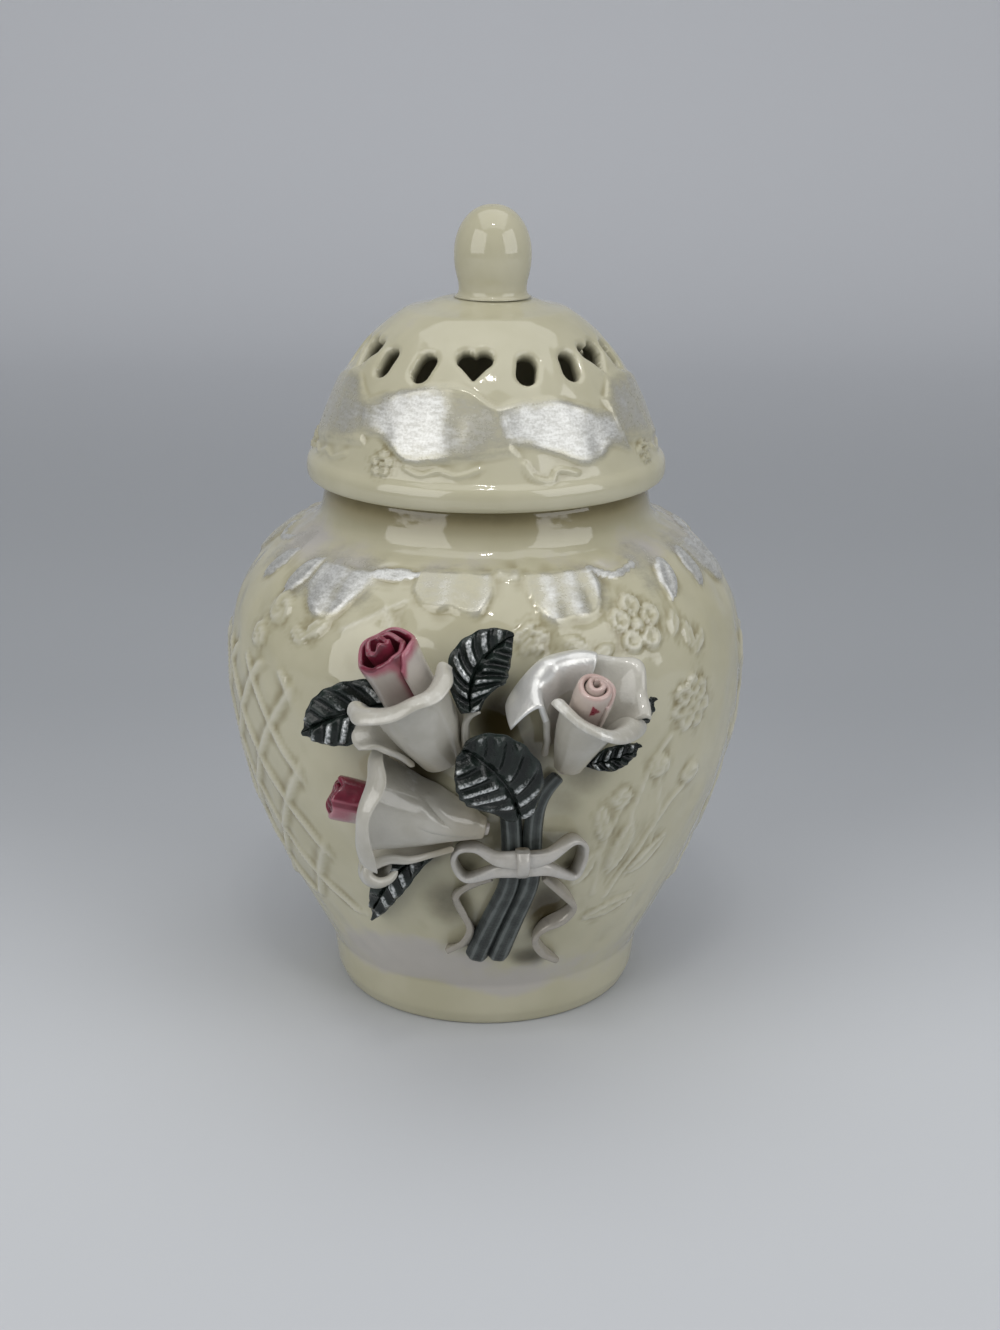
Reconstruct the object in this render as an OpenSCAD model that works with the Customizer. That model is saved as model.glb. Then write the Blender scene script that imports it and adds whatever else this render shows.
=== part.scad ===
// Potpourri vase: a footed ginger-jar body, a lid pierced with hearts and ovals, and a bouquet
// of rolled clay roses, leaves, stalks and a ribbon bow laid on the front of the glaze.
// Millimetres, +Z up, foot on z = 0, bouquet towards -Y.

/* [Vase body] */
// Radius of the foot where it stands
foot_r = 32.5; // [29:0.5:36]
// Width of the ring the vase stands on
foot_ring_w = 5.5; // [4:0.5:9]
// Depth of the recess inside the foot ring
foot_recess = 2.5; // [1.5:0.5:4]
// Thickness of the floor over the recess
floor_t = 5; // [3.5:0.5:8]
// Radius of the ankle above the foot
ankle_r = 34.2; // [31:0.2:37]
// Height of the ankle
ankle_z = 10; // [8:0.5:14]
// Greatest radius of the belly
belly_r = 55; // [50:0.5:62]
// Height of the greatest radius
belly_z = 75; // [70:1:82]
// Radius where the shoulder turns up into the neck
shoulder_r = 36.6; // [35.8:0.2:39]
// Height of that turn above the greatest radius
shoulder_rise = 29; // [26:0.5:34]
// Outside radius of the neck
neck_r = 33.8; // [32:0.2:35.5]
// Height of the neck from the shoulder to the rim
neck_h = 9; // [7:0.5:14]
// Thickness of the wall
wall = 4; // [3:0.25:5]
// Height of the cast relief over the glaze
relief_h = 0.6; // [0.4:0.05:0.8]
// Width of the trellis bars
bar_w = 1.6; // [1.2:0.1:2.4]
// Width and height of the trellis diamonds
diamond_w = 13; // [10:0.5:18]
diamond_h = 17; // [13:0.5:24]
// Radius of the large five-petalled blossom
blossom_r = 6; // [5:0.25:7]

/* [Lid] */
// How far the rolled lip stands out past the neck
lip_over = 3.8; // [2.5:0.1:6]
// Height of the rolled lip
lip_h = 4.5; // [3.5:0.25:7]
// Height of the dome above the lip
dome_h = 30.2; // [24:0.5:36]
// Radius of the crease round the crown
crown_r = 16.6; // [16:0.2:21]
// Rise of the crown from its crease to the seat of the knob
crown_h = 2.2; // [1.5:0.1:5]
// Thickness of the lid
lid_wall = 2.8; // [2.2:0.1:3.6]
// Depth of the ring that drops into the mouth
ring_depth = 6; // [4:0.5:10]
// Thickness of that ring
ring_t = 2.7; // [2:0.1:4]
// Space between that ring and the mouth
ring_gap = 0.6; // [0.4:0.1:1.2]
// Space under the lip where it rests on the rim
seat_gap = 0.05; // [0.02:0.01:0.2]

/* [Piercing] */
// Number of hearts round the dome, each followed by two ovals
hearts = 6; // [4:1:7]
// Turn of the first heart from the front
heart_turn = -5; // [-30:1:30]
// How far the hand-cut holes stray from even steps, in degrees
hole_drift = 5; // [0:0.5:6]
// How much higher the hearts are cut than the ovals
heart_up = 1.4; // [0:0.1:1.6]
// Width of a heart
heart_w = 7.6; // [6:0.2:8.4]
// Width of an oval
oval_w = 4.4; // [3.4:0.2:5]
// Height of an oval
oval_h = 7.0; // [6:0.2:9]
// Place of the row on the dome, from the lip to the crown
row_at = 0.69; // [0.6:0.01:0.76]

/* [Knob] */
// Radius of the knob where it is luted to the crown
knob_foot_r = 7.2; // [6:0.1:7.6]
// Greatest radius of the knob
knob_r = 8.0; // [7.8:0.1:10]
// Height of the knob
knob_h = 18.5; // [17:0.5:26]
// How far the knob sits off the centre
knob_shift = 1.25; // [0:0.25:2]

/* [Bouquet] */
// Thickness of a petal
petal_t = 1.3; // [1:0.1:1.5]
// Thickness of a petal's rolled lip
lip_t = 2.2; // [1.6:0.1:2.6]
// Step where a rolled bud laps over itself
bud_lap = 0.5; // [0.3:0.1:0.8]
// Thickness of a leaf
leaf_t = 1.4; // [1.1:0.1:1.7]
// Radius of a stalk
stalk_r = 1.65; // [1.3:0.05:1.8]
// Thickness of the ribbon
ribbon_t = 1.2; // [0.9:0.1:1.4]
// Width of the ribbon's loose ends, measured out from the glaze
tail_w = 3; // [2.4:0.2:4]
// Film of slip between two pieces that are luted together
slip = 0.12; // [0.1:0.02:0.16]

/* [Hidden] */
$fn = 96;
rim_z = belly_z + shoulder_rise + neck_h;
shoulder_z = belly_z + shoulder_rise;
mouth_r = neck_r - wall;
lid_z = rim_z + seat_gap;
lip_r = neck_r + lip_over;
dome_r = lip_r - 0.9;
dome_z = lid_z + lip_h;
crown_z = dome_z + dome_h;
seat_z = crown_z + crown_h;
stalk_out = 0.85 * stalk_r;
stalk_top = stalk_out + stalk_r;
// The bouquet is laid out for a belly of radius 55 and grows with it
grow = belly_r / 55;

// Plain vector helpers
function unit(v) = v / norm(v);
function mix(a, b, t) = a * (1 - t) + b * t;
function bez(p, t) = pow(1 - t, 3) * p[0] + 3 * pow(1 - t, 2) * t * p[1]
    + 3 * (1 - t) * t * t * p[2] + pow(t, 3) * p[3];
function bez_pts(p, n, first) = [for (i = [first:n]) bez(p, i / n)];
function tangent(p, i) = unit(p[min(i + 1, len(p) - 1)] - p[max(i - 1, 0)]);
// A profile moved to its left side by w
function inset(p, w) = [for (i = [0:len(p) - 1]) let (t = tangent(p, i)) p[i] + w * [-t[1], t[0]]];

// Outline of the body from the ankle to the belly and from the belly to the shoulder
lower_curve = bez_pts([[ankle_r, ankle_z],
    [mix(ankle_r, belly_r, 0.34), mix(ankle_z, belly_z, 0.23)],
    [belly_r, mix(ankle_z, belly_z, 0.565)], [belly_r, belly_z]], 14, 0);
upper_curve = bez_pts([[belly_r, belly_z], [belly_r, belly_z + 0.454 * shoulder_rise],
    [mix(shoulder_r, belly_r, 0.653), belly_z + 0.82 * shoulder_rise], [shoulder_r, shoulder_z]], 12, 1);
foot_edge = [[foot_r - 0.8, 0], [foot_r, 0.8], [mix(foot_r, ankle_r, 0.5), 2.5]];
neck_edge = [[neck_r + 1.5, shoulder_z + 1.5], [neck_r + 0.7, shoulder_z + 4], [neck_r, rim_z - 0.6],
    [neck_r - 0.6, rim_z]];
belly_outline = concat(lower_curve, upper_curve);
glaze_table = [for (p = concat(foot_edge, belly_outline, neck_edge)) [p[1], p[0]]];
function glaze_r(z) = lookup(z, glaze_table);

// A length in millimetres as the bouquet's layout counts it
function laid(x) = x / grow;
// A place on the glaze: x along the belly from the front, z above the belly line, out from the glaze
function on(p, side = 0) = let (z = belly_z + grow * p[1], r = glaze_r(z) + grow * p[2],
    a = (grow * p[0] / belly_r + side / r) * 180 / PI) [r * sin(a), -r * cos(a), z];
// A clay point pressed back out of the glaze so that it stands at least h off it
function press(p, h) = let (r = norm([p[0], p[1]]), m = glaze_r(p[2]) + h)
    r < m ? [p[0] * m / r, p[1] * m / r, p[2]] : p;
function outward(p) = unit([p[0], p[1], 0]);

// Volume inside a set of triangles, used only for its sign
function swept(p, f, i = 0, s = 0) = i == len(f) ? s
    : swept(p, f, i + 1, s + p[f[i][0]] * cross(p[f[i][1]], p[f[i][2]]));
// A solid through rings of the same number of points, closed at both ends
module loft(rings) {
    m = len(rings[0]);
    n = len(rings);
    pts = [for (r = rings) for (p = r) p];
    sides = [for (i = [0:n - 2]) for (j = [0:m - 1]) for (k = [0, 1])
        let (a = i * m + j, b = i * m + (j + 1) % m) k == 0 ? [a, b, b + m] : [a, b + m, a + m]];
    ends = [for (e = [0, 1]) for (j = [0:m / 2 - 2]) for (k = [0, 1])
        let (q = e * (n - 1) * m, t = k == 0 ? [j, m - 2 - j, j + 1] : [j, m - 1 - j, m - 2 - j])
        [for (c = (e == 0 ? [0, 1, 2] : [2, 1, 0])) q + t[c]]];
    f = concat(sides, ends);
    flip = swept(pts, f) > 0;
    polyhedron(pts, [for (t = f) flip ? [t[2], t[1], t[0]] : t]);
}
// A smooth line through a few points
function between(a, b, c, d, t) = 0.5 * (2 * b + (c - a) * t + (2 * a - 5 * b + 4 * c - d) * t * t
    + (3 * b - a - 3 * c + d) * t * t * t);
function smooth(p, n) = let (e = len(p) - 1) concat([for (i = [0:e - 1]) for (k = [0:n - 1])
    between(p[max(i - 1, 0)], p[i], p[i + 1], p[min(i + 2, e)], k / n)], [p[e]]);

// The frame of a rose: its foot, its axis, its outward side and its right side
function rose_frame(b, t) = let (p = on(b), q = on(t), a = unit(q - p), o = outward((p + q) / 2),
    e = unit(o - (o * a) * a)) [p, a, e, cross(a, e)];
function rose_at(f, s, turn, r) = f[0] + grow * (f[1] * s + r * (cos(turn) * f[2] + sin(turn) * f[3]));
rose_1 = rose_frame([-6.5, -6, 2.4], [-15.3, 20.5, 20]);
rose_2 = rose_frame([15.2, -7.6, 2.4], [17.3, 13.8, 17]);
rose_3 = rose_frame([1.3, -20.3, 1.8], [-26.4, -12.6, 9]);
// Radius of each bud along its axis
bud_1 = [[0, 2.2], [3, 2.9], [8, 4.5], [13, 5.7], [18, 6.2], [24, 6], [29, 5.4], [30.6, 4.8],
    [30.8, 3.9], [29.6, 2.2]];
bud_2 = [[0, 2], [4, 2.5], [10, 3.3], [16, 3.9], [20, 4.1], [22.6, 3.6], [23.2, 2.8], [22.4, 1.6]];
bud_3 = [[0, 1.3], [5, 1.8], [11, 2.8], [17, 3.9], [23, 4.5], [28, 4.6], [30.8, 4.2], [31.6, 3.4],
    [30.8, 1.8]];
// A rolled bud: a solid of revolution whose radius grows over one turn and steps back at the lap
module bud(f, rows, lap_at, n = 20)
    loft([for (q = rows) [for (j = [0:n - 1])
        press(rose_at(f, q[0], lap_at + j * 360 / n, q[1] + laid(bud_lap) * (j / (n - 1) - 0.5)), slip)]]);
// Radius of the middle of a petal that wraps a bud, layer 0 next to the bud
function wrap(rows, s, layer) = lookup(s, [for (q = rows) if (q[0] < 26) q]) + laid(bud_lap / 2
    + (layer + 1) * slip + (layer + 0.5) * petal_t);
// A petal: rows of [s, radius, half angle, thickness] from its foot to its lip, round a middle angle;
// towards the lip its place along the axis and its radius change by [even, odd] shares across its width
module petal(f, mid, rows, along, across, n = 10) {
    e = len(rows) - 1;
    loft([for (i = [0:e]) let (q = rows[i], a = rows[max(i - 1, 0)], b = rows[min(i + 1, e)],
            t = unit([b[0] - a[0], b[1] - a[1]]) * laid(q[3] / 2), g = pow(i / e, 2))
        concat(
            [for (j = [0:n]) let (v = 2 * j / n - 1) press(rose_at(f,
                q[0] + g * (along[0] * v * v + along[1] * v) - t[1], mid + q[2] * v,
                q[1] + g * (across[0] * v * v + across[1] * v) + t[0]), slip)],
            [for (j = [0:n]) let (v = 1 - 2 * j / n) press(rose_at(f,
                q[0] + g * (along[0] * v * v + along[1] * v) + t[1], mid + q[2] * v,
                q[1] + g * (across[0] * v * v + across[1] * v) - t[0]), slip + 0.8 * q[3])])]);
}
// A leaf along a bent midrib a, b, c on the glaze, half width w, edges folded up, turned about its midrib
function leaf_line(a, b, c, u) = let (p = on(a), q = on(b), r = on(c))
    (1 - u) * (1 - u) * p + 2 * u * (1 - u) * q + u * u * r;
module leaf(a, b, c, w, shape, fold, turn, n = 10, k = 3)
    loft([for (i = [0:n]) let (u = i / n, p = leaf_line(a, b, c, u),
            t = unit(leaf_line(a, b, c, u + 0.02) - leaf_line(a, b, c, u - 0.02)),
            s0 = unit(cross(t, outward(p))), n0 = cross(s0, t), g = turn * min(1, 2 * u),
            s = s0 * cos(g) + n0 * sin(g), o = n0 * cos(g) - s0 * sin(g), h = grow * w * lookup(u, shape))
        concat(
            [for (j = [-k:k]) let (v = j / k) press(p + s * h * v + o * (fold * h * abs(v)
                + leaf_t * (0.5 - 0.2 * v * v)), slip + leaf_t * 0.8)],
            [for (j = [-k:k]) let (v = -j / k) press(p + s * h * v + o * (fold * h * abs(v)
                - leaf_t * (0.5 - 0.2 * v * v)), slip)])]);
pointed = [[0, 0.3], [0.2, 0.55], [0.5, 1], [0.75, 0.8], [0.9, 0.42], [1, 0.1]];
broad = [[0, 0.5], [0.2, 0.85], [0.4, 1], [0.65, 0.8], [0.85, 0.45], [1, 0.1]];
blunt = [[0, 0.3], [0.25, 0.6], [0.5, 0.95], [0.7, 1], [0.87, 0.75], [1, 0.25]];
// A lump of clay behind a leaf that stands clear of the glaze
module backing(p, r, top, n = 8)
    loft([for (h = [0, top]) let (c = on([p[0], p[1], h]), o = outward(c), s = cross([0, 0, 1], o))
        [for (j = [0:n - 1]) press(c + grow * r * (cos(j * 360 / n) * s + [0, 0, sin(j * 360 / n)]), slip)]]);
// A round stalk along points [x, z] on the glaze, moved to one side, thinner at its upper end
module stalk(path, side, thin, n = 12) {
    c = [for (p = smooth(path, 4)) on([p[0], p[1], laid(stalk_out)], side)];
    e = len(c) - 1;
    loft([for (i = [0:e]) let (t = tangent(c, i), s = unit(cross(t, outward(c[i]))), o = cross(s, t),
            r = stalk_r * (1 - thin * pow(i / e, 4)))
        [for (j = [0:n - 1]) press(c[i] + r * (cos(j * 360 / n) * s + sin(j * 360 / n) * o), slip)]]);
}
// A ribbon standing on its edge: points of [x, z, back, front]
module ribbon(path, n = 4) {
    p = smooth(path, n);
    b = [for (q = p) on([q[0], q[1], q[2]])];
    e = [for (q = p) on([q[0], q[1], q[3]])];
    loft([for (i = [0:len(p) - 1]) let (s = unit(cross(tangent(b, i), outward(b[i]))) * ribbon_t / 2)
        [press(b[i] - s, slip), e[i] - s, e[i] + s, press(b[i] + s, slip)]]);
}

// Relief cast on the body: flat patterns pressed through a thin layer that stands out from the glaze
module relief_layer() {
    over = inset(belly_outline, -relief_h);
    under = inset(belly_outline, 0.4 * wall);
    rotate_extrude() polygon(concat(over, [for (i = [len(under) - 1:-1:0]) under[i]]));
}
function slope(z) = atan2(glaze_r(z + 1) - glaze_r(z - 1), 2);
// Sets a flat pattern square to the glaze, turned from the front by an angle
module stamp(turn, z, lean = 0) rotate([0, 0, turn]) translate([0, -glaze_r(z), z])
    rotate([90 + slope(z), 0, 0]) translate([0, 0, -0.6 * wall]) linear_extrude(wall) rotate(lean) children();
// A place on the glaze as a stamp at another place sees it
function seen(a, z, turn, z0) = let (r = glaze_r(z), t = slope(z0))
    [r * sin(a - turn), (r * cos(a - turn) - glaze_r(z0)) * sin(t) + (z - z0) * cos(t)];
module blossom(r, petals = 5) {
    for (k = [0:petals - 1]) rotate(k * 360 / petals) translate([0, 0.66 * r]) circle(0.36 * r);
    circle(0.22 * r);
}
module leaf_form(long, wide) {
    r = (long * long + wide * wide) / (2 * wide);
    intersection() {
        translate([0, r - wide]) circle(r);
        translate([0, wide - r]) circle(r);
    }
}
// Cloth hung between two angles; the top and the hem are given as drops below the shoulder line
module drape(a0, a1, top, hem) {
    mid = (a0 + a1) / 2;
    n = len(hem) - 1;
    z0 = shoulder_z - top - 4;
    stamp(mid, z0) polygon(concat([for (i = [0:n]) seen(mix(a0, a1, i / n), shoulder_z - top, mid, z0)],
        [for (i = [n:-1:0]) seen(mix(a0, a1, i / n), shoulder_z - hem[i], mid, z0)]));
}
module trellis(turn, half, low, high) rotate([0, 0, turn]) rotate([90, 0, 0]) linear_extrude(belly_r + 4)
    intersection() {
        translate([-half, low]) square([2 * half, high - low]);
        for (side = [-1, 1], k = [-5:5]) translate([k * diamond_w, 0.8 * belly_z])
            rotate(side * atan2(diamond_h, diamond_w)) square([5 * diamond_h, bar_w], center = true);
    }
module relief() intersection() {
    relief_layer();
    union() {
        for (turn = [0, 120, 240]) {
            drape(turn - 49, turn - 29.5, 2.8, [7, 9.6, 11.2, 11.4, 10.4, 7.4, 4.4]);
            drape(turn - 18.5, turn + 2.5, 1.6, [4.6, 6.8, 7.6, 7.4, 8.2, 8.2, 4.8]);
            drape(turn + 3, turn + 10, 1.2, [2.6, 3.2, 3]);
            drape(turn + 10.5, turn + 31, 1.8, [4.4, 9.2, 10.2, 9.4, 9.6, 8.6, 4.4]);
            stamp(turn + 53, shoulder_z - 5.8, 62) leaf_form(5.6, 2.6);
            stamp(turn + 66.5, shoulder_z - 5.8, 68) leaf_form(5.6, 2.6);
        }
        for (turn = [0, 128, 180]) {
            stamp(turn + 36.4, shoulder_z - 11.6) blossom(blossom_r);
            stamp(turn + 49, belly_z - 0.4) blossom(0.9 * blossom_r, 7);
            stamp(turn + 40.5, 0.84 * belly_z) circle(0.42 * blossom_r);
            stamp(turn + 51.5, 0.78 * belly_z) circle(0.42 * blossom_r);
            stamp(turn + 33.5, 0.61 * belly_z, 78) leaf_form(7.5, 2.4);
            stamp(turn + 43, 0.55 * belly_z, 40) leaf_form(6.5, 2.2);
            stamp(turn + 36, 0.39 * belly_z, 14) leaf_form(6.5, 2.2);
        }
        for (turn = [0, 180]) {
            stamp(turn - 53.5, shoulder_z - 11.8) circle(0.6 * blossom_r);
            stamp(turn - 58.5, shoulder_z - 18) circle(0.42 * blossom_r);
            trellis(turn - 73, 0.49 * belly_r, 0.36 * belly_z, belly_z + 6);
        }
    }
}

// Body: thrown shell with a foot ring, a belly, a shoulder and a plain neck
module vase_body() color([0.93, 0.9, 0.82]) {
    relief();
    core = inset(belly_outline, wall);
    inner = [for (p = core) if (p[1] > foot_recess + floor_t + 2 && p[1] < shoulder_z - wall + 0.4) p];
    rotate_extrude()
        polygon(concat([[0, foot_recess], [foot_r - foot_ring_w - 1, foot_recess],
            [foot_r - foot_ring_w, foot_recess - 0.6], [foot_r - foot_ring_w, 0]],
            foot_edge, belly_outline, neck_edge,
            [[mouth_r + 0.6, rim_z], [mouth_r, rim_z - 0.6], [mouth_r, shoulder_z - 1.2]],
            [for (i = [len(inner) - 1:-1:0]) inner[i]],
            [[inner[0][0] - 2.5, foot_recess + floor_t + 0.6], [inner[0][0] - 6, foot_recess + floor_t],
            [0, foot_recess + floor_t]]));
}

// Lid: rolled lip, dome, creased crown and a ring that drops into the mouth
dome_curve = bez_pts([[dome_r, dome_z], [mix(crown_r, dome_r, 0.82), dome_z + 0.31 * dome_h],
    [mix(crown_r, dome_r, 0.65), dome_z + 0.75 * dome_h], [crown_r, crown_z]], 12, 0);
module lid_shell() {
    under = inset(dome_curve, lid_wall);
    ring_r = mouth_r - ring_gap;
    rotate_extrude()
        polygon(concat([[ring_r - ring_t + 0.5, lid_z - ring_depth], [ring_r - 0.6, lid_z - ring_depth],
            [ring_r, lid_z - ring_depth + 0.6], [ring_r, lid_z],
            [lip_r - 1.2, lid_z], [lip_r - 0.3, lid_z + 0.7], [lip_r, lid_z + 1.8],
            [lip_r - 0.2, lid_z + 3.1]], dome_curve,
            [[knob_foot_r + 2.5, seat_z], [0, seat_z], [0, seat_z - lid_wall],
            [crown_r - 4, seat_z - lid_wall - 0.6]],
            [for (i = [len(under) - 2:-1:1]) under[i]],
            [[ring_r - ring_t + 1.5, lid_z + 2.4], [ring_r - ring_t, lid_z + 0.6],
            [ring_r - ring_t, lid_z - ring_depth + 0.5]]));
}
row = bez([[dome_r, dome_z], [mix(crown_r, dome_r, 0.82), dome_z + 0.31 * dome_h],
    [mix(crown_r, dome_r, 0.65), dome_z + 0.75 * dome_h], [crown_r, crown_z]], row_at);
row_next = bez([[dome_r, dome_z], [mix(crown_r, dome_r, 0.82), dome_z + 0.31 * dome_h],
    [mix(crown_r, dome_r, 0.65), dome_z + 0.75 * dome_h], [crown_r, crown_z]], row_at + 0.02);
row_tilt = atan2(row_next[1] - row[1], row[0] - row_next[0]);
// A cutter stands on the dome with its own Y up the slope and its own Z out of the wall
module on_dome(turn) rotate([0, 0, turn]) translate([0, -row[0], row[1]]) rotate([row_tilt, 0, 0]) children();
function cut_turn(i) = heart_turn + i * 360 / hearts + hole_drift * sin(2 * i * 360 / hearts);
module heart_hole() {
    lobe = heart_w * 0.27;
    for (x = [-1, 1]) translate([x * (heart_w / 2 - lobe), heart_w * 0.17, -6])
        cylinder(h = 12, r = lobe, $fn = 40);
    translate([0, 0, -6]) linear_extrude(12) polygon([[-heart_w * 0.455, heart_w * 0.02],
        [0, -heart_w * 0.5], [heart_w * 0.455, heart_w * 0.02], [0, heart_w * 0.3]]);
}
module oval_hole() {
    for (y = [-1, 1]) translate([0, y * (oval_h - oval_w) / 2, -6]) cylinder(h = 12, d = oval_w, $fn = 40);
    translate([-oval_w / 2, -(oval_h - oval_w) / 2, -6]) cube([oval_w, oval_h - oval_w, 12]);
}
module lid() color([0.93, 0.9, 0.82]) difference() {
    lid_shell();
    for (i = [0:hearts - 1]) {
        on_dome(cut_turn(i)) translate([0, heart_up, 0]) heart_hole();
        for (k = [1, 2]) on_dome(cut_turn(i + k / 3)) oval_hole();
    }
}
// Knob: a plain egg luted to the flat seat of the crown
module lid_knob() color([0.93, 0.9, 0.82]) translate([knob_shift, 0, seat_z + slip]) rotate_extrude()
    polygon(concat([[0, 0], [knob_foot_r, 0]], bez_pts([[knob_foot_r, 0.8],
        [knob_foot_r, 0.22 * knob_h], [knob_r, 0.28 * knob_h], [knob_r, 0.46 * knob_h]], 6, 0),
        bez_pts([[knob_r, 0.46 * knob_h], [knob_r, 0.76 * knob_h], [0.55 * knob_r, knob_h],
        [0, knob_h]], 10, 1)));

// Upper left rose
module rose_1_bud() color([0.75, 0.2, 0.25]) bud(rose_1, bud_1, 200);
module rose_1_front_petal() color([0.95, 0.94, 0.92]) petal(rose_1, 18, [
    [2, wrap(bud_1, 2, 0), 70, petal_t], [6, wrap(bud_1, 6, 0), 80, petal_t],
    [10, wrap(bud_1, 10, 0), 85, petal_t], [13.5, wrap(bud_1, 13.5, 0), 85, petal_t],
    [16.5, wrap(bud_1, 16.5, 0) + 0.5, 82, petal_t], [18.8, 9.2, 80, lip_t], [20, 10.6, 78, lip_t]],
    [-1, 0.5], [0, 0]);
module rose_1_left_petal() color([0.95, 0.94, 0.92]) petal(rose_1, -88, [
    [3, wrap(bud_1, 3, 1) + 0.1, 45, petal_t], [5.5, wrap(bud_1, 5.5, 1) + 0.3, 44, petal_t],
    [7.7, wrap(bud_1, 7.7, 1) + 1.5, 40, petal_t], [9.3, 10.6, 33, petal_t], [10.2, 13.2, 28, petal_t]],
    [-0.4, 0], [0, 0]);
module rose_1_right_petal() color([0.95, 0.94, 0.92]) petal(rose_1, 106, [
    [4, wrap(bud_1, 4, 1) + 0.1, 40, petal_t], [8, wrap(bud_1, 8, 1) + 0.3, 36, petal_t],
    [10, wrap(bud_1, 10, 1) + 0.6, 30, petal_t], [11.3, 9.4, 24, petal_t], [11.9, 11, 18, petal_t]],
    [-1, 0], [0, 0]);

// Right-hand rose
module rose_2_bud() color([0.9, 0.7, 0.7]) bud(rose_2, bud_2, 140);
module rose_2_front_petal() color([0.95, 0.94, 0.92]) petal(rose_2, 0, [
    [2, wrap(bud_2, 2, 0), 80, petal_t], [7, wrap(bud_2, 7, 0), 92, petal_t],
    [12, wrap(bud_2, 12, 0), 95, petal_t], [15.5, wrap(bud_2, 15.5, 0) + 0.1, 95, petal_t],
    [18, wrap(bud_2, 18, 0) + 0.7, 92, lip_t], [18.8, wrap(bud_2, 18.8, 0) + 1.5, 90, lip_t]],
    [-1.6, -3.4], [3.2, 3.2]);
module rose_2_left_petal() color([0.95, 0.94, 0.92]) petal(rose_2, -149, [
    [3, wrap(bud_2, 3, 1), 44, petal_t], [7, wrap(bud_2, 7, 1), 46, petal_t],
    [11, wrap(bud_2, 11, 1) + 0.6, 46, petal_t], [14.5, 8.4, 46, petal_t], [18, 11.2, 45, petal_t],
    [20.8, 12.9, 44, lip_t]], [-2, -3.2], [-1.4, 0.3]);
module rose_2_right_petal() color([0.95, 0.94, 0.92]) petal(rose_2, 130, [
    [3, wrap(bud_2, 3, 1), 30, petal_t], [7, wrap(bud_2, 7, 1), 32, petal_t],
    [10.5, wrap(bud_2, 10.5, 1) + 0.6, 33, petal_t], [13.5, 9, 33, petal_t], [16, 13, 33, petal_t],
    [17.5, 17.5, 33, lip_t]], [0, 3.4], [-6, 0]);

// Lower left rose
module rose_3_bud() color([0.75, 0.2, 0.25]) bud(rose_3, bud_3, 60);
module rose_3_collar_petal() color([0.95, 0.94, 0.92]) petal(rose_3, -2, [
    [1, wrap(bud_3, 1, 0), 80, petal_t], [7, wrap(bud_3, 7, 0) + 0.3, 85, petal_t],
    [13, wrap(bud_3, 13, 0) + 0.8, 88, petal_t], [18, wrap(bud_3, 18, 0) + 1.4, 88, petal_t],
    [22.4, 7.2, 82, petal_t], [25.4, 8.6, 76, lip_t], [26.2, 10, 71, lip_t]], [-3.2, 0.8], [1, 0.8]);
module rose_3_lower_petal() color([0.95, 0.94, 0.92]) petal(rose_3, -104, [
    [11, wrap(bud_3, 11, 1) + 0.9, 20, petal_t], [15, wrap(bud_3, 15, 1) + 1.3, 22, petal_t],
    [18.5, wrap(bud_3, 18.5, 1) + 2.4, 24, petal_t], [20.6, 11.6, 24, petal_t], [21.8, 14, 22, petal_t],
    [22.2, 16, 20, petal_t]], [-1, 0], [-1, -1]);

// Leaves
leaf_color = [0.13, 0.18, 0.14];
module leaf_1() color(leaf_color)
    leaf([-16.4, 5.9, 0.8], [-23, 6.8, 9.7], [-33.2, -1.8, 6], 6.1, broad, 0.25, 0);
module leaf_2() color(leaf_color) union() {
    leaf([-0.6, 10.8, 7.6], [-2.2, 16.4, 9.5], [4.9, 20, 9.6], 5.2, pointed, 0.25, 0);
    backing([-0.6, 14.5], 2, 10);
}
module leaf_3() color(leaf_color) leaf([6.6, -16.3, laid(stalk_top + slip + leaf_t / 2)], [3, -2.4, 12],
    [-1.9, 1.2, 12], 8, blunt, 0.2, 0);
module leaf_4() color(leaf_color)
    leaf([-9, -25.5, 0.8], [-18.5, -28, 7], [-29, -47, 1.6], 3.5, pointed, 0.25, 0);
module leaf_5() color(leaf_color) leaf([24, -1, 0.8], [27, 0.6, 6.6], [31.6, 5.6, 5.6], 2.6, pointed, 0.2, 0);
module leaf_6() color(leaf_color)
    leaf([19.5, -7, 0.8], [23.5, -7, 4.5], [29.6, -4, 4], 2.6, pointed, 0.2, 0);

// Stalks
module stalk_left() color([0.45, 0.5, 0.48]) stalk([[0.6, -54.5], [4.7, -43.4], [7.6, -34.7], [8, -28],
    [7.4, -20.8], [6.6, -14.6]], -stalk_r - slip / 2, 0);
module stalk_right() color([0.45, 0.5, 0.48]) stalk([[2, -54], [5.4, -43.5], [7.9, -34.9], [8.2, -28.3],
    [8.7, -21], [9.4, -15], [10.9, -11.8], [12.4, -9.7]], stalk_r + slip / 2, 0.35);

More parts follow.
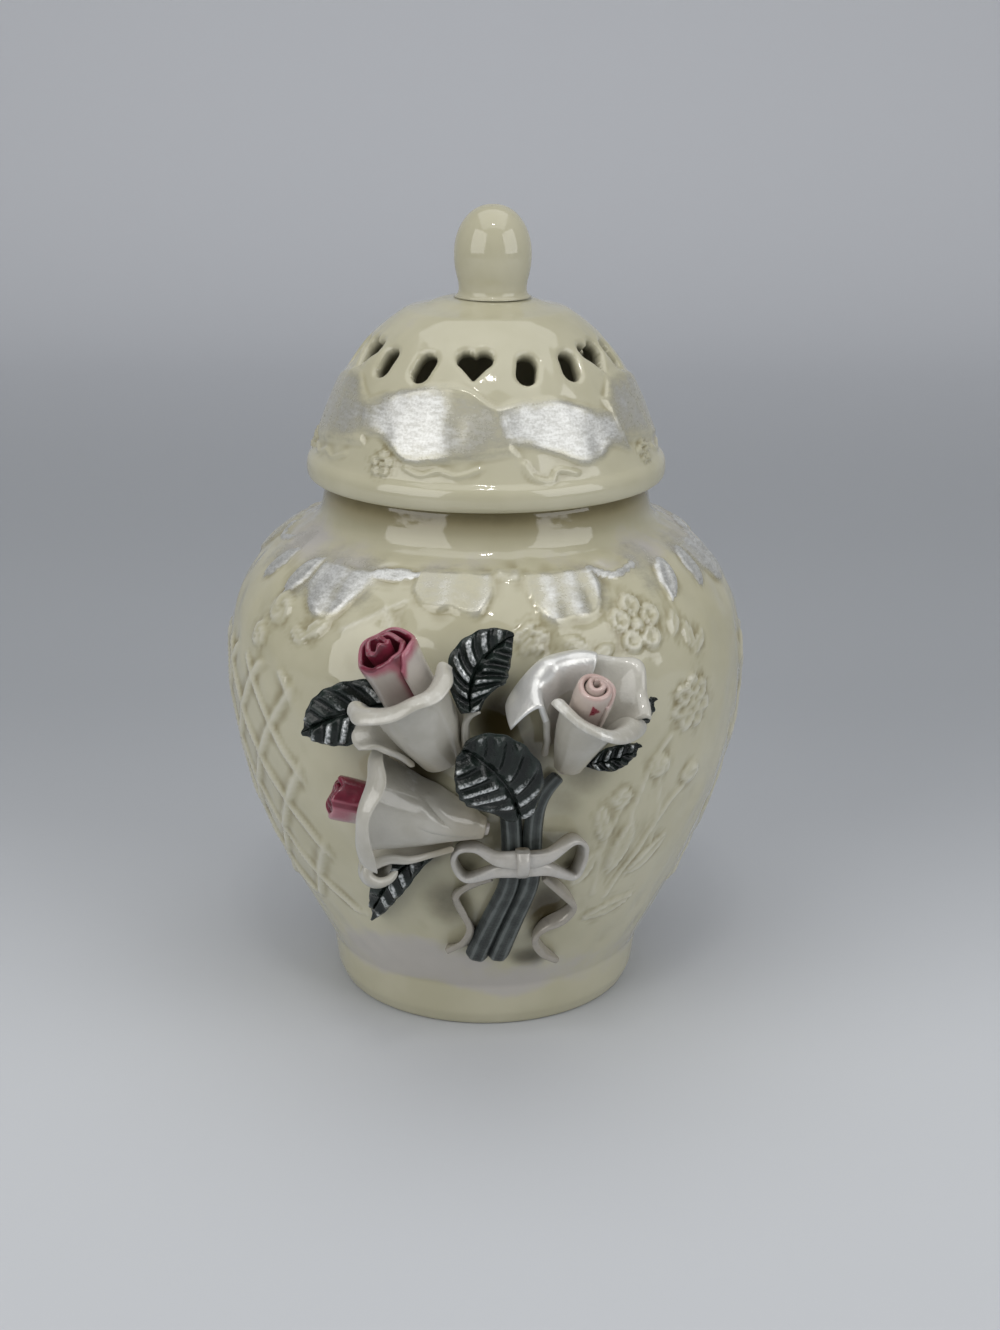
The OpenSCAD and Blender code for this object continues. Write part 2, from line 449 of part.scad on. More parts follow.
// Bow and its loose ends
bow_x = 7.6;
bow_z = -27.3;
over = laid(stalk_top + 3 * slip);
tail = laid(tail_w);
module bow_left_loop() color([0.93, 0.92, 0.9]) ribbon([
    [bow_x - 1.4, bow_z + 1, over, over + 2.8], [bow_x - 5, bow_z + 2.2, over, over + 2.8],
    [bow_x - 9, bow_z + 3.4, 0, 5], [bow_x - 12.6, bow_z + 2.6, 0, 4.6], [bow_x - 13.6, bow_z, 0, 4.6],
    [bow_x - 11, bow_z - 3.4, 0, 4.8], [bow_x - 5, bow_z - 1.8, over, over + 2.8],
    [bow_x - 1.4, bow_z - 1, over, over + 2.8]]);
module bow_right_loop() color([0.93, 0.92, 0.9]) ribbon([
    [bow_x + 1.4, bow_z + 1, over, over + 2.8], [bow_x + 5, bow_z + 2.4, over, over + 2.8],
    [bow_x + 10.3, bow_z + 5.2, 0, 5], [bow_x + 13, bow_z + 2.6, 0, 4.6], [bow_x + 13, bow_z - 2, 0, 4.6],
    [bow_x + 11.4, bow_z - 4.8, 0, 4.8], [bow_x + 5, bow_z - 2, over, over + 2.8],
    [bow_x + 1.4, bow_z - 1, over, over + 2.8]]);
module bow_knot() color([0.93, 0.92, 0.9]) ribbon([
    [bow_x, bow_z + 3, over, over + 2.4], [bow_x, bow_z, over, over + 3.4],
    [bow_x, bow_z - 3, over, over + 2.4]]);
module ribbon_tail_left() color([0.93, 0.92, 0.9]) ribbon([
    [1.9, -33, 0, tail], [-2.9, -34.9, 0, tail], [-6.6, -37.2, 0, tail], [-4.5, -44.6, 0, tail],
    [-4.2, -49.2, 0, tail], [-9.9, -52.9, 0, tail]]);
module ribbon_tail_right() color([0.93, 0.92, 0.9]) ribbon([
    [13.1, -33, 0, tail], [19.4, -39.9, 0, tail], [22.9, -43.6, 0, tail], [16.8, -45.6, 0, tail],
    [13.8, -49.6, 0, tail], [15.9, -52.8, 0, tail], [21.6, -57.3, 0, tail]]);

vase_body();
lid();
lid_knob();
rose_1_bud();
rose_1_front_petal();
rose_1_left_petal();
rose_1_right_petal();
rose_2_bud();
rose_2_front_petal();
rose_2_left_petal();
rose_2_right_petal();
rose_3_bud();
rose_3_collar_petal();
rose_3_lower_petal();
leaf_1();
leaf_2();
leaf_3();
leaf_4();
leaf_5();
leaf_6();
stalk_left();
stalk_right();
bow_left_loop();
bow_right_loop();
bow_knot();
ribbon_tail_left();
ribbon_tail_right();
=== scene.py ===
import math

import bpy
import numpy as np
from mathutils import Matrix


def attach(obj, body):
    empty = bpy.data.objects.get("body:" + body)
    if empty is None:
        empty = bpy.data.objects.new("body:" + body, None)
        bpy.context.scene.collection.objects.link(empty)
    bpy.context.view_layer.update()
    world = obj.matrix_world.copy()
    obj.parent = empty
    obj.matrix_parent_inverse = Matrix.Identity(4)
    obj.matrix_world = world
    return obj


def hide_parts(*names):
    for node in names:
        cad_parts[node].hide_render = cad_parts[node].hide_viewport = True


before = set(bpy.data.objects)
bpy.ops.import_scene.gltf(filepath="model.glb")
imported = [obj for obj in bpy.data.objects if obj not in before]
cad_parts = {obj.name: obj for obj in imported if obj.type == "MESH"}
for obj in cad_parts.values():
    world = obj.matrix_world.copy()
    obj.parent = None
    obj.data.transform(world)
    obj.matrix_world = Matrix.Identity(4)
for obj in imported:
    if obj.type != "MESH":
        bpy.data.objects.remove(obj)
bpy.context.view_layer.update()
MM = 0.001

# Sizes of the jar in millimetres, the same as in the part's source
FOOT_R, FOOT_RECESS, FLOOR_T = 32.5, 2.5, 5.0
ANKLE_R, ANKLE_Z, BELLY_R, BELLY_Z = 34.2, 10.0, 55.0, 75.0
SHOULDER_R, SHOULDER_Z, NECK_R, RIM_Z, WALL = 36.6, 104.0, 33.8, 113.0, 4.0
LID_Z, LIP_R, DOME_H, CROWN_R, LID_WALL = 113.05, 37.6, 30.2, 16.6, 2.8
RING_R, RING_T, RING_DEPTH = 29.2, 2.7, 6.0
DOME_R, DOME_Z, CROWN_Z, SEAT_Z = 36.7, 117.55, 147.75, 149.95
HEART_W, OVAL_W, OVAL_H = 7.6, 4.4, 7.0
HOLES, HEART_TURN, HOLE_DRIFT, HEART_UP, ROW_AT = 18, -5.0, 5.0, 1.4, 0.69
KNOB_FOOT_R, KNOB_R, KNOB_H, KNOB_SHIFT = 7.2, 8.0, 18.5, 1.25
RELIEF_H, BAR_W, DIAMOND_W, DIAMOND_H, BLOSSOM_R = 0.6, 1.6, 13.0, 17.0, 6.0
PETAL_T, LEAF_T, STALK_R, TAIL_W, SLIP, BUD_LAP = 1.3, 1.4, 1.65, 3.0, 0.12, 0.5
STALK_OUT = 0.85 * STALK_R
STALK_TOP = STALK_OUT + STALK_R

# How fine the surfaces are: steps round the axis, rows along it, and both ways of the sheets
JAR_STEPS, LID_STEPS, KNOB_STEPS, STALK_STEPS, RIBBON_STEPS, LUMP_STEPS = 440, 400, 96, 36, 28, 20
FOOT_ROWS, JAR_ROWS, INSIDE_ROWS, BAND_ROWS, STALK_ROWS, LUMP_ROWS = 9, 192, 20, 40, 130, 9
BUD_GRID, PETAL_GRID, LEAF_GRID = (220, 46), (70, 84), (110, 60)


# Plain number helpers
def mix(a, b, t):
    """The share t of the way from a to b."""
    return a + (b - a) * t


def ease(a, b, x):
    """Nil below a, one above b, and three t squared less two t cubed between them."""
    t = np.clip((np.asarray(x, float) - a) / (b - a), 0, 1)
    return t * t * (3 - 2 * t)


def hump(x, wide):
    """A soft hump: e to the minus square of x over its width."""
    return np.exp(-np.square(x / wide))


def unit(v):
    """Vectors divided by their length."""
    return v / np.maximum(np.linalg.norm(v, axis=-1, keepdims=True), 1e-9)


def wrapped(angle):
    """Degrees brought between minus and plus 180 by whole turns."""
    return (angle + 180) % 360 - 180


def steps_round(n):
    """n even steps of a full turn, in radians."""
    return np.arange(n) * 2 * math.pi / n


def lengths(path):
    """Length along a path up to each of its points: the sum of the steps before it."""
    return np.r_[0, np.cumsum(np.linalg.norm(np.diff(path, axis=0), axis=1))]


def round_axis(r, a, z):
    """Places at a radius and a height, turned about the upright axis by an angle from the front: r times the sine to
    the right, r times the cosine to the front."""
    return np.stack(np.broadcast_arrays(r * np.sin(a), -r * np.cos(a), z), -1)


def bezier(corners, n):
    """A cubic curve: its four corners weighted by the shares of (1 - t) and t, cubed out."""
    t = np.linspace(0, 1, n + 1)[:, None]
    p = np.array(corners, float)
    return (1 - t) ** 3 * p[0] + 3 * (1 - t) ** 2 * t * p[1] + 3 * (1 - t) * t * t * p[2] + t ** 3 * p[3]


def through(rows, x):
    """The smooth curve through rows of numbers, read at places x counted in rows (Catmull and Rom's cubic)."""
    rows, x = np.asarray(rows, float), np.asarray(x, float)
    last = len(rows) - 1
    i = np.clip(np.floor(x).astype(int), 0, last - 1)
    t = (x - i)[..., None]
    a, b = rows[np.maximum(i - 1, 0)], rows[i]
    c, d = rows[i + 1], rows[np.minimum(i + 2, last)]
    return 0.5 * (2 * b + (c - a) * t + (2 * a - 5 * b + 4 * c - d) * t * t + (3 * b - a - 3 * c + d) * t ** 3)


def respace(path, n):
    """n points at even steps of the length along a path."""
    path = np.asarray(path, float)
    run = lengths(path)
    at = np.linspace(0, run[-1], n)
    return np.stack([np.interp(at, run, path[:, k]) for k in range(path.shape[1])], 1)


def soften(path, times):
    """Corners cut at a quarter and three quarters of each stretch, over and over, with the ends kept."""
    path = np.asarray(path, float)
    for _ in range(times):
        a, b = path[:-1], path[1:]
        cut = np.stack([mix(a, b, 0.25), mix(a, b, 0.75)], 1).reshape(-1, path.shape[1])
        path = np.vstack([path[:1], cut[1:-1], path[-1:]])
    return path


def spaced(n, margin):
    """Places from 0 to 1: n even ones, and at both ends five that crowd towards the end as a quarter circle does."""
    crowd = 5
    near = margin * (1 - np.cos(np.linspace(0, 0.5 * math.pi, crowd)))
    return np.r_[near, np.linspace(margin, 1 - margin, n + 2)[1:-1], 1 - near[::-1]]


def rounded(places, margin):
    """Share of the full thickness at each place: a quarter circle over the margin at both ends."""
    e = np.clip(np.minimum(places, 1 - places) / margin, 0, 1)
    return np.sqrt(1 - np.square(1 - e))


# Outline of the jar
lower_curve = bezier([[ANKLE_R, ANKLE_Z], [mix(ANKLE_R, BELLY_R, 0.34), mix(ANKLE_Z, BELLY_Z, 0.23)],
                      [BELLY_R, mix(ANKLE_Z, BELLY_Z, 0.565)], [BELLY_R, BELLY_Z]], 60)
shoulder_h = SHOULDER_Z - BELLY_Z
upper_curve = bezier([[BELLY_R, BELLY_Z], [BELLY_R, BELLY_Z + 0.454 * shoulder_h],
                      [mix(SHOULDER_R, BELLY_R, 0.653), BELLY_Z + 0.82 * shoulder_h], [SHOULDER_R, SHOULDER_Z]], 50)
wall_curve = np.vstack([lower_curve, upper_curve[1:]])
foot_edge = np.array([[FOOT_R - 0.8, 0], [FOOT_R - 0.1, 0.5], [FOOT_R + 0.2, 1.4], [33.35, 3]])
neck_edge = np.array([[35.3, 105.5], [34.85, 106.6], [34.5, 108], [34.1, 110.4], [NECK_R, 112.3],
                      [NECK_R - 0.25, 112.8], [NECK_R - 0.8, RIM_Z]])
outer_line = np.vstack([foot_edge, wall_curve, neck_edge])


def glaze_r(z):
    """Radius of the glaze at a height, read off the outline."""
    return np.interp(z, outer_line[:, 1], outer_line[:, 0])


def on(p, side=0.0):
    """A place on the glaze from x along the belly, z above the belly line and the distance out, moved to one side."""
    p = np.asarray(p, float)
    z = BELLY_Z + p[..., 1]
    r = glaze_r(z) + p[..., 2]
    a = p[..., 0] / BELLY_R + side / r
    return round_axis(r, a, z)


def press(q, h):
    """Points pushed out from the axis until they stand h off the glaze, where they would stand closer."""
    r = np.maximum(np.hypot(q[..., 0], q[..., 1]), 1e-6)
    k = np.maximum(1, (glaze_r(q[..., 2]) + h) / r)[..., None]
    return np.concatenate([q[..., :2] * k, q[..., 2:]], -1)


def outward(q):
    """The level direction from the axis through each point."""
    return unit(q * np.array([1, 1, 0]))


# Making the pieces
def quads(index):
    """Faces between neighbouring rows and columns of a grid of point numbers."""
    return np.stack([index[:-1, :-1], index[:-1, 1:], index[1:, 1:], index[1:, :-1]], -1).reshape(-1, 4)


def ring_quads(index):
    """The same, with the last column joined to the first."""
    return quads(np.c_[index, index[:, :1]])


def fan(ring, pole):
    """Triangles from a ring of point numbers to one point."""
    return np.stack([ring, np.roll(ring, -1), np.full(len(ring), pole)], 1)


def halves(faces):
    """Faces of four corners split into two triangles each, and triangles as they are."""
    return np.vstack([faces[:, :3], faces[:, [0, 2, 3]]]) if faces.shape[1] == 4 else faces


def piece(name, points, faces, finish, body, node, paints=None):
    """Puts points in millimetres and faces into a mesh with its faces turned outwards, by the sign of the volume
    that they enclose, gives it painted numbers and a finish, and lets it stand for a node and ride on a body."""
    points = np.asarray(points, float).reshape(-1, 3)
    tri = np.vstack([halves(f) for f in faces])
    a, b, c = points[tri[:, 0]], points[tri[:, 1]], points[tri[:, 2]]
    if np.einsum("ij,ij->i", a, np.cross(b, c)).sum() < 0:
        faces = [f[:, ::-1] for f in faces]
    used, back = np.unique(np.concatenate([f.ravel() for f in faces]), return_inverse=True)
    sizes = np.concatenate([np.full(len(f), f.shape[1]) for f in faces])
    mesh = bpy.data.meshes.new(name)
    mesh.vertices.add(len(used))
    mesh.vertices.foreach_set("co", (points[used] * MM).astype(np.float32).ravel())
    mesh.loops.add(len(back))
    mesh.loops.foreach_set("vertex_index", back.astype(np.int32).ravel())
    mesh.polygons.add(len(sizes))
    mesh.polygons.foreach_set("loop_start", np.r_[0, np.cumsum(sizes)[:-1]].astype(np.int32))
    mesh.polygons.foreach_set("use_smooth", np.ones(len(sizes), bool))
    for key, value in (paints or {}).items():
        layer = mesh.attributes.new(key, "FLOAT", "POINT")
        layer.data.foreach_set("value", np.asarray(value, np.float32).ravel()[used])
    mesh.update(calc_edges=True)
    mesh.validate()
    made = bpy.data.objects.new(name, mesh)
    bpy.context.scene.collection.objects.link(made)
    mesh.materials.append(finish)
    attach(made, body)
    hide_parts(node)
    return made


def normals(middle):
    """Directions square to a grid of points: the cross product of the steps along its two ways."""
    return unit(np.cross(np.gradient(middle, axis=0), np.gradient(middle, axis=1)))


def both(value):
    """A painted number for the two faces of a sheet, the same on either."""
    return np.r_[value.ravel(), value.ravel()]


def clay_sheet(middle, thick):
    """Both faces of a rolled-out sheet: each point of its middle surface moved half the thickness along the normal,
    to either side. The two faces share their border, where the thickness is nil. Gives points and faces, with the
    face on the normal's side first."""
    n, m, _ = middle.shape
    normal = normals(middle)
    half = 0.5 * np.asarray(thick)[..., None]
    front = np.arange(n * m).reshape(n, m)
    back = front + n * m
    back[[0, -1]] = front[[0, -1]]
    back[:, [0, -1]] = front[:, [0, -1]]
    points = np.concatenate([(middle + normal * half).reshape(-1, 3), (middle - normal * half).reshape(-1, 3)])
    return points, [quads(front), quads(back)[:, ::-1]]


def tube(rings, tip_a, tip_b):
    """A skin over rings of points, closed at both ends by a point. Gives points and faces."""
    n, m, _ = rings.shape
    index = np.arange(n * m).reshape(n, m)
    points = np.vstack([rings.reshape(-1, 3), tip_a, tip_b])
    return points, [ring_quads(index), fan(index[0][::-1], n * m), fan(index[-1], n * m + 1)]


def section(line, x, side, y, up):
    """Rings of points about a line: each point x to one side and y upwards from the line."""
    return line[:, None, :] + x[..., None] * side[:, None, :] + y[..., None] * up[:, None, :]


def capped(value, tip=0):
    """A painted number for a skin over rings, with a number for the points at its two ends."""
    return np.r_[value.ravel(), tip, tip]


# Shader maths written as expressions
class Paint:
    """A value in a material: the socket that gives it, with the arithmetic that adds Math nodes."""

    def __init__(self, finish, socket):
        self.finish, self.socket = finish, socket

    def maths(self, operation, a, b):
        """A Math node on two values."""
        return self.finish.add("ShaderNodeMath", {"operation": operation}, {0: a, 1: b})

    def __add__(self, other): return self.maths("ADD", self, other)
    def __radd__(self, other): return self.maths("ADD", other, self)
    def __sub__(self, other): return self.maths("SUBTRACT", self, other)
    def __rsub__(self, other): return self.maths("SUBTRACT", other, self)
    def __mul__(self, other): return self.maths("MULTIPLY", self, other)
    def __rmul__(self, other): return self.maths("MULTIPLY", other, self)


class Finish:
    """A material under construction."""

    def __init__(self, name):
        self.material = bpy.data.materials.new(name)
        self.material.use_nodes = True
        self.tree = self.material.node_tree
        self.tree.nodes.clear()

    def add(self, kind, settings=None, sockets=None, out=0):
        """Any node: its settings are set first, then the values or links of its sockets."""
        node = self.tree.nodes.new(kind)
        for key, value in (settings or {}).items():
            setattr(node, key, value)
        for key, value in (sockets or {}).items():
            if isinstance(value, Paint):
                self.tree.links.new(value.socket, node.inputs[key])
            else:
                node.inputs[key].default_value = value
        return Paint(self, node.outputs[out]) if node.outputs else None

    def painted(self, key):
        """A number painted on the piece."""
        return self.add("ShaderNodeAttribute", {"attribute_name": key}, out=2)

    def place(self, scale=(1, 1, 1)):
        """The place on the piece in metres, stretched."""
        at = self.add("ShaderNodeTexCoord", out=3)
        return self.add("ShaderNodeMapping", {}, {"Vector": at, "Scale": scale})

    def speckle(self, at, scale, detail=3.0, rough=0.55):
        """Cloudy noise from about 0.25 to 0.75."""
        return self.add("ShaderNodeTexNoise", {}, {"Vector": at, "Scale": scale, "Detail": detail,
                                                   "Roughness": rough})

    def step(self, value, low, high):
        """A soft step from nil at low to one at high."""
        return self.add("ShaderNodeMapRange", {"interpolation_type": "SMOOTHSTEP"},
                        {"Value": value, "From Min": low, "From Max": high})

    def blend(self, share, a, b):
        """Colour a changed into colour b by a share."""
        tone = lambda c: c if isinstance(c, Paint) else (*c, 1.0)
        return self.add("ShaderNodeMix", {"data_type": "RGBA"}, {0: share, 6: tone(a), 7: tone(b)}, out=2)

    def bump(self, height, strength, distance):
        """Fine unevenness that only the light sees."""
        return self.add("ShaderNodeBump", {}, {"Height": height, "Strength": strength, "Distance": distance})

    def close(self, **sockets):
        """The shader, with its sockets named by words joined with underscores."""
        named = {key.replace("_", " "): value for key, value in sockets.items()}
        shader = self.add("ShaderNodeBsdfPrincipled", {}, named)
        self.add("ShaderNodeOutputMaterial", {}, {"Surface": shader})
        return self.material


def clouded(name, clouds, grains):
    """The start of a finish: cloudy noise of two sizes, read at the place on the piece."""
    f = Finish(name)
    at = f.place()
    return f, f.speckle(at, *clouds), f.speckle(at, *grains)


def cream_glaze_finish():
    """Glossy cream glaze, darker in hollows where it pools and where shade is painted, with a painted highlight on
    crests, painted shadow under the lid's lip and in corners, a thin mauve pearl, partly a painted sheen, and brushed
    silver lustre where painted."""
    f, cloud, grain = clouded("cream_glaze", (55,), (1900, 3.0, 0.65))
    at = f.place()
    stroke = f.speckle(f.place((420, 420, 1500)), 1.0, 4.0, 0.65)
    patch = f.speckle(at, 150, 4.0, 0.6)
    lustre = f.painted("lustre")
    worn = (patch - 0.5) * 0.9 + (stroke - 0.5) * 0.5 + (grain - 0.5) * 0.2
    silver = f.step(lustre + worn, 0.05, 0.95) * f.step(lustre, 0.0, 0.2)
    pearl = f.step(f.painted("pearl") + (patch - 0.5) * 0.9 + (cloud - 0.5) * 1.2, 0.25, 0.85)
    tone = f.blend(f.step(cloud, 0.3, 0.7), (0.465, 0.44, 0.31), (0.52, 0.495, 0.365))
    # Darker in the relief's hollows as pooled glaze deepened by painted shade, and painted shade on the neck under the
    # lid's lip.
    tone = f.blend(f.painted("recess"), tone, (0.26, 0.225, 0.12))
    # Painted highlight: paler on the crests of the relief.
    tone = f.blend(f.painted("crest") * 0.42, tone, (0.7, 0.685, 0.61))
    # Mauve pearl on the band over the foot is paint; on the shoulder it is a painted sheen.
    tone = f.blend(pearl * 0.7, tone, (0.46, 0.435, 0.44))
    # Painted shadow: near-black brown under the lid's lip and in the corners round the bouquet.
    tone = f.blend(f.step(f.painted("painted_shadow") + (patch - 0.5) * 0.3, 0.05, 1.0), tone, (0.05, 0.038, 0.014))
    metal = f.blend(f.step(stroke + (grain - 0.5) * 0.9, 0.25, 0.75), (0.5, 0.5, 0.48), (0.78, 0.785, 0.775))
    metal = f.blend(f.step(lustre + (patch - 0.5) * 0.6, 0.25, 0.85), (0.36, 0.345, 0.29), metal)
    tone = f.blend(silver * 0.9, tone, metal)
    rough = 0.03 + 0.05 * cloud + silver * (0.32 + 0.14 * grain) + pearl * 0.1
    height = grain * (0.1 + 0.9 * silver) + stroke * silver * 0.5 + f.speckle(at, 330, 1.0) * 1.2
    return f.close(Base_Color=tone, Roughness=rough, Metallic=silver * 0.6,
                   Normal=f.bump(height, 0.1, 0.0003), IOR=1.56)


def white_petal_finish():
    """Satin white glaze with a faint warm cloud, painted shade near the feet, and silver pearl, partly a painted
    highlight.
    """
    f, cloud, grain = clouded("white_petal", (130,), (1800, 2.0))
    stroke = f.speckle(f.place((900, 900, 220)), 1.0, 4.0, 0.6)
    # Silver pearl lustre where the petals show bright highlights: partly paint, partly a painted highlight.
    silver = f.step(f.painted("lustre") + (cloud - 0.5) * 0.5 + (stroke - 0.5) * 0.5, 0.4, 0.7)
    tone = f.blend(f.step(cloud, 0.3, 0.7), (0.42, 0.402, 0.345), (0.5, 0.484, 0.43))
    # Painted shade near the petals' feet.
    tone = f.blend(f.painted("recess"), tone, (0.3, 0.26, 0.18))
    tone = f.blend(silver * 0.8, tone, (0.78, 0.78, 0.76))
    rough = 0.24 + 0.12 * cloud
    return f.close(Base_Color=tone, Roughness=rough, Metallic=silver * 0.45, Coat_Weight=0.7 + 0.3 * cloud,
                   Coat_Roughness=0.06, Normal=f.bump(grain + cloud * 2.0, 0.14, 0.0005), IOR=1.5)


def bud_finish(name, crimson, blush, white):
    """Satin glaze painted by hand: crimson where the brush was, blush round it, white below."""
    f, cloud, grain = clouded(name, (260, 4.0, 0.6), (2200, 2.0))
    brush = f.painted("crimson") + (cloud - 0.5) * 0.35
    tone = f.blend(f.step(brush, 0.05, 0.55), white, blush)
    red = f.blend(f.step(cloud, 0.35, 0.65), crimson, tuple(1.9 * c for c in crimson))
    tone = f.blend(f.step(brush, 0.5, 0.85), tone, red)
    # Painted shade deep inside the rolled bud.
    tone = f.blend(f.painted("recess"), tone, (0.1, 0.045, 0.04))
    return f.close(Base_Color=tone, Roughness=0.22 + 0.16 * cloud, Coat_Weight=0.4 + 0.3 * cloud,
                   Coat_Roughness=0.08, Normal=f.bump(grain + cloud, 0.15, 0.0004), IOR=1.5)


def dark_leaf_finish():
    """Black-green glaze with the ridges of the veins rubbed back to silvery clay."""
    f, cloud, grain = clouded("dark_leaf", (240, 4.0, 0.6), (1600,))
    rub = f.step(f.painted("rub") + (cloud - 0.5) * 1.1 + (grain - 0.5) * 0.5, 0.5, 1.15)
    tone = f.blend(f.step(cloud, 0.35, 0.7), (0.006, 0.01, 0.008), (0.02, 0.03, 0.025))
    # Painted shade in the grooves between the veins and along the midrib.
    tone = f.blend(f.painted("recess"), tone, (0.006, 0.007, 0.007))
    tone = f.blend(rub, tone, f.blend(f.step(grain, 0.35, 0.65), (0.14, 0.155, 0.152), (0.7, 0.72, 0.72)))
    return f.close(Base_Color=tone, Roughness=0.1 + 0.16 * cloud, Metallic=rub * 0.5,
                   Normal=f.bump(grain + cloud, 0.25, 0.0005), IOR=1.42)


def grey_stalk_finish():
    """Blue-grey green glaze rubbed pale along the ribs, with painted shade nearly black in the grooves and on its side
    toward the glaze.
    """
    f, cloud, grain = clouded("grey_stalk", (300, 4.0, 0.6), (1700,))
    rub = f.step(f.painted("rub") + (cloud - 0.5) * 0.8, 0.45, 1.0)
    tone = f.blend(f.step(cloud, 0.3, 0.7), (0.024, 0.03, 0.028), (0.06, 0.071, 0.067))
    tone = f.blend(rub * 0.6, tone, (0.15, 0.167, 0.163))
    # Painted shade in the grooves and on the side toward the glaze.
    tone = f.blend(f.painted("recess"), tone, (0.012, 0.014, 0.014))
    return f.close(Base_Color=tone, Roughness=0.3 + 0.2 * cloud, Normal=f.bump(grain + cloud, 0.25, 0.0005),
                   IOR=1.5)


def pearl_ribbon_finish():
    """Pearl white glaze, cloudy in tone and shine, with warm painted shade on its side toward the glaze and on the
    tails.
    """
    f, cloud, grain = clouded("pearl_ribbon", (320, 4.0, 0.6), (1900, 2.0))
    tone = f.blend(f.step(cloud, 0.3, 0.7), (0.45, 0.43, 0.39), (0.53, 0.515, 0.485))
    # Painted shade on the side toward the glaze and over the tails.
    tone = f.blend(f.painted("recess"), tone, (0.22, 0.185, 0.125))
    return f.close(Base_Color=tone, Roughness=0.15 + 0.14 * cloud, Metallic=0.1 + 0.25 * f.step(cloud, 0.5, 0.75),
                   Normal=f.bump(grain, 0.08, 0.0003), IOR=1.5)


cream_glaze = cream_glaze_finish()
white_petal = white_petal_finish()
crimson_bud = bud_finish("crimson_bud", (0.105, 0.007, 0.02), (0.37, 0.11, 0.15), (0.5, 0.46, 0.42))
pale_bud = bud_finish("pale_bud", (0.2, 0.01, 0.03), (0.5, 0.33, 0.3), (0.53, 0.45, 0.4))
dark_leaf = dark_leaf_finish()
grey_stalk = grey_stalk_finish()
pearl_ribbon = pearl_ribbon_finish()


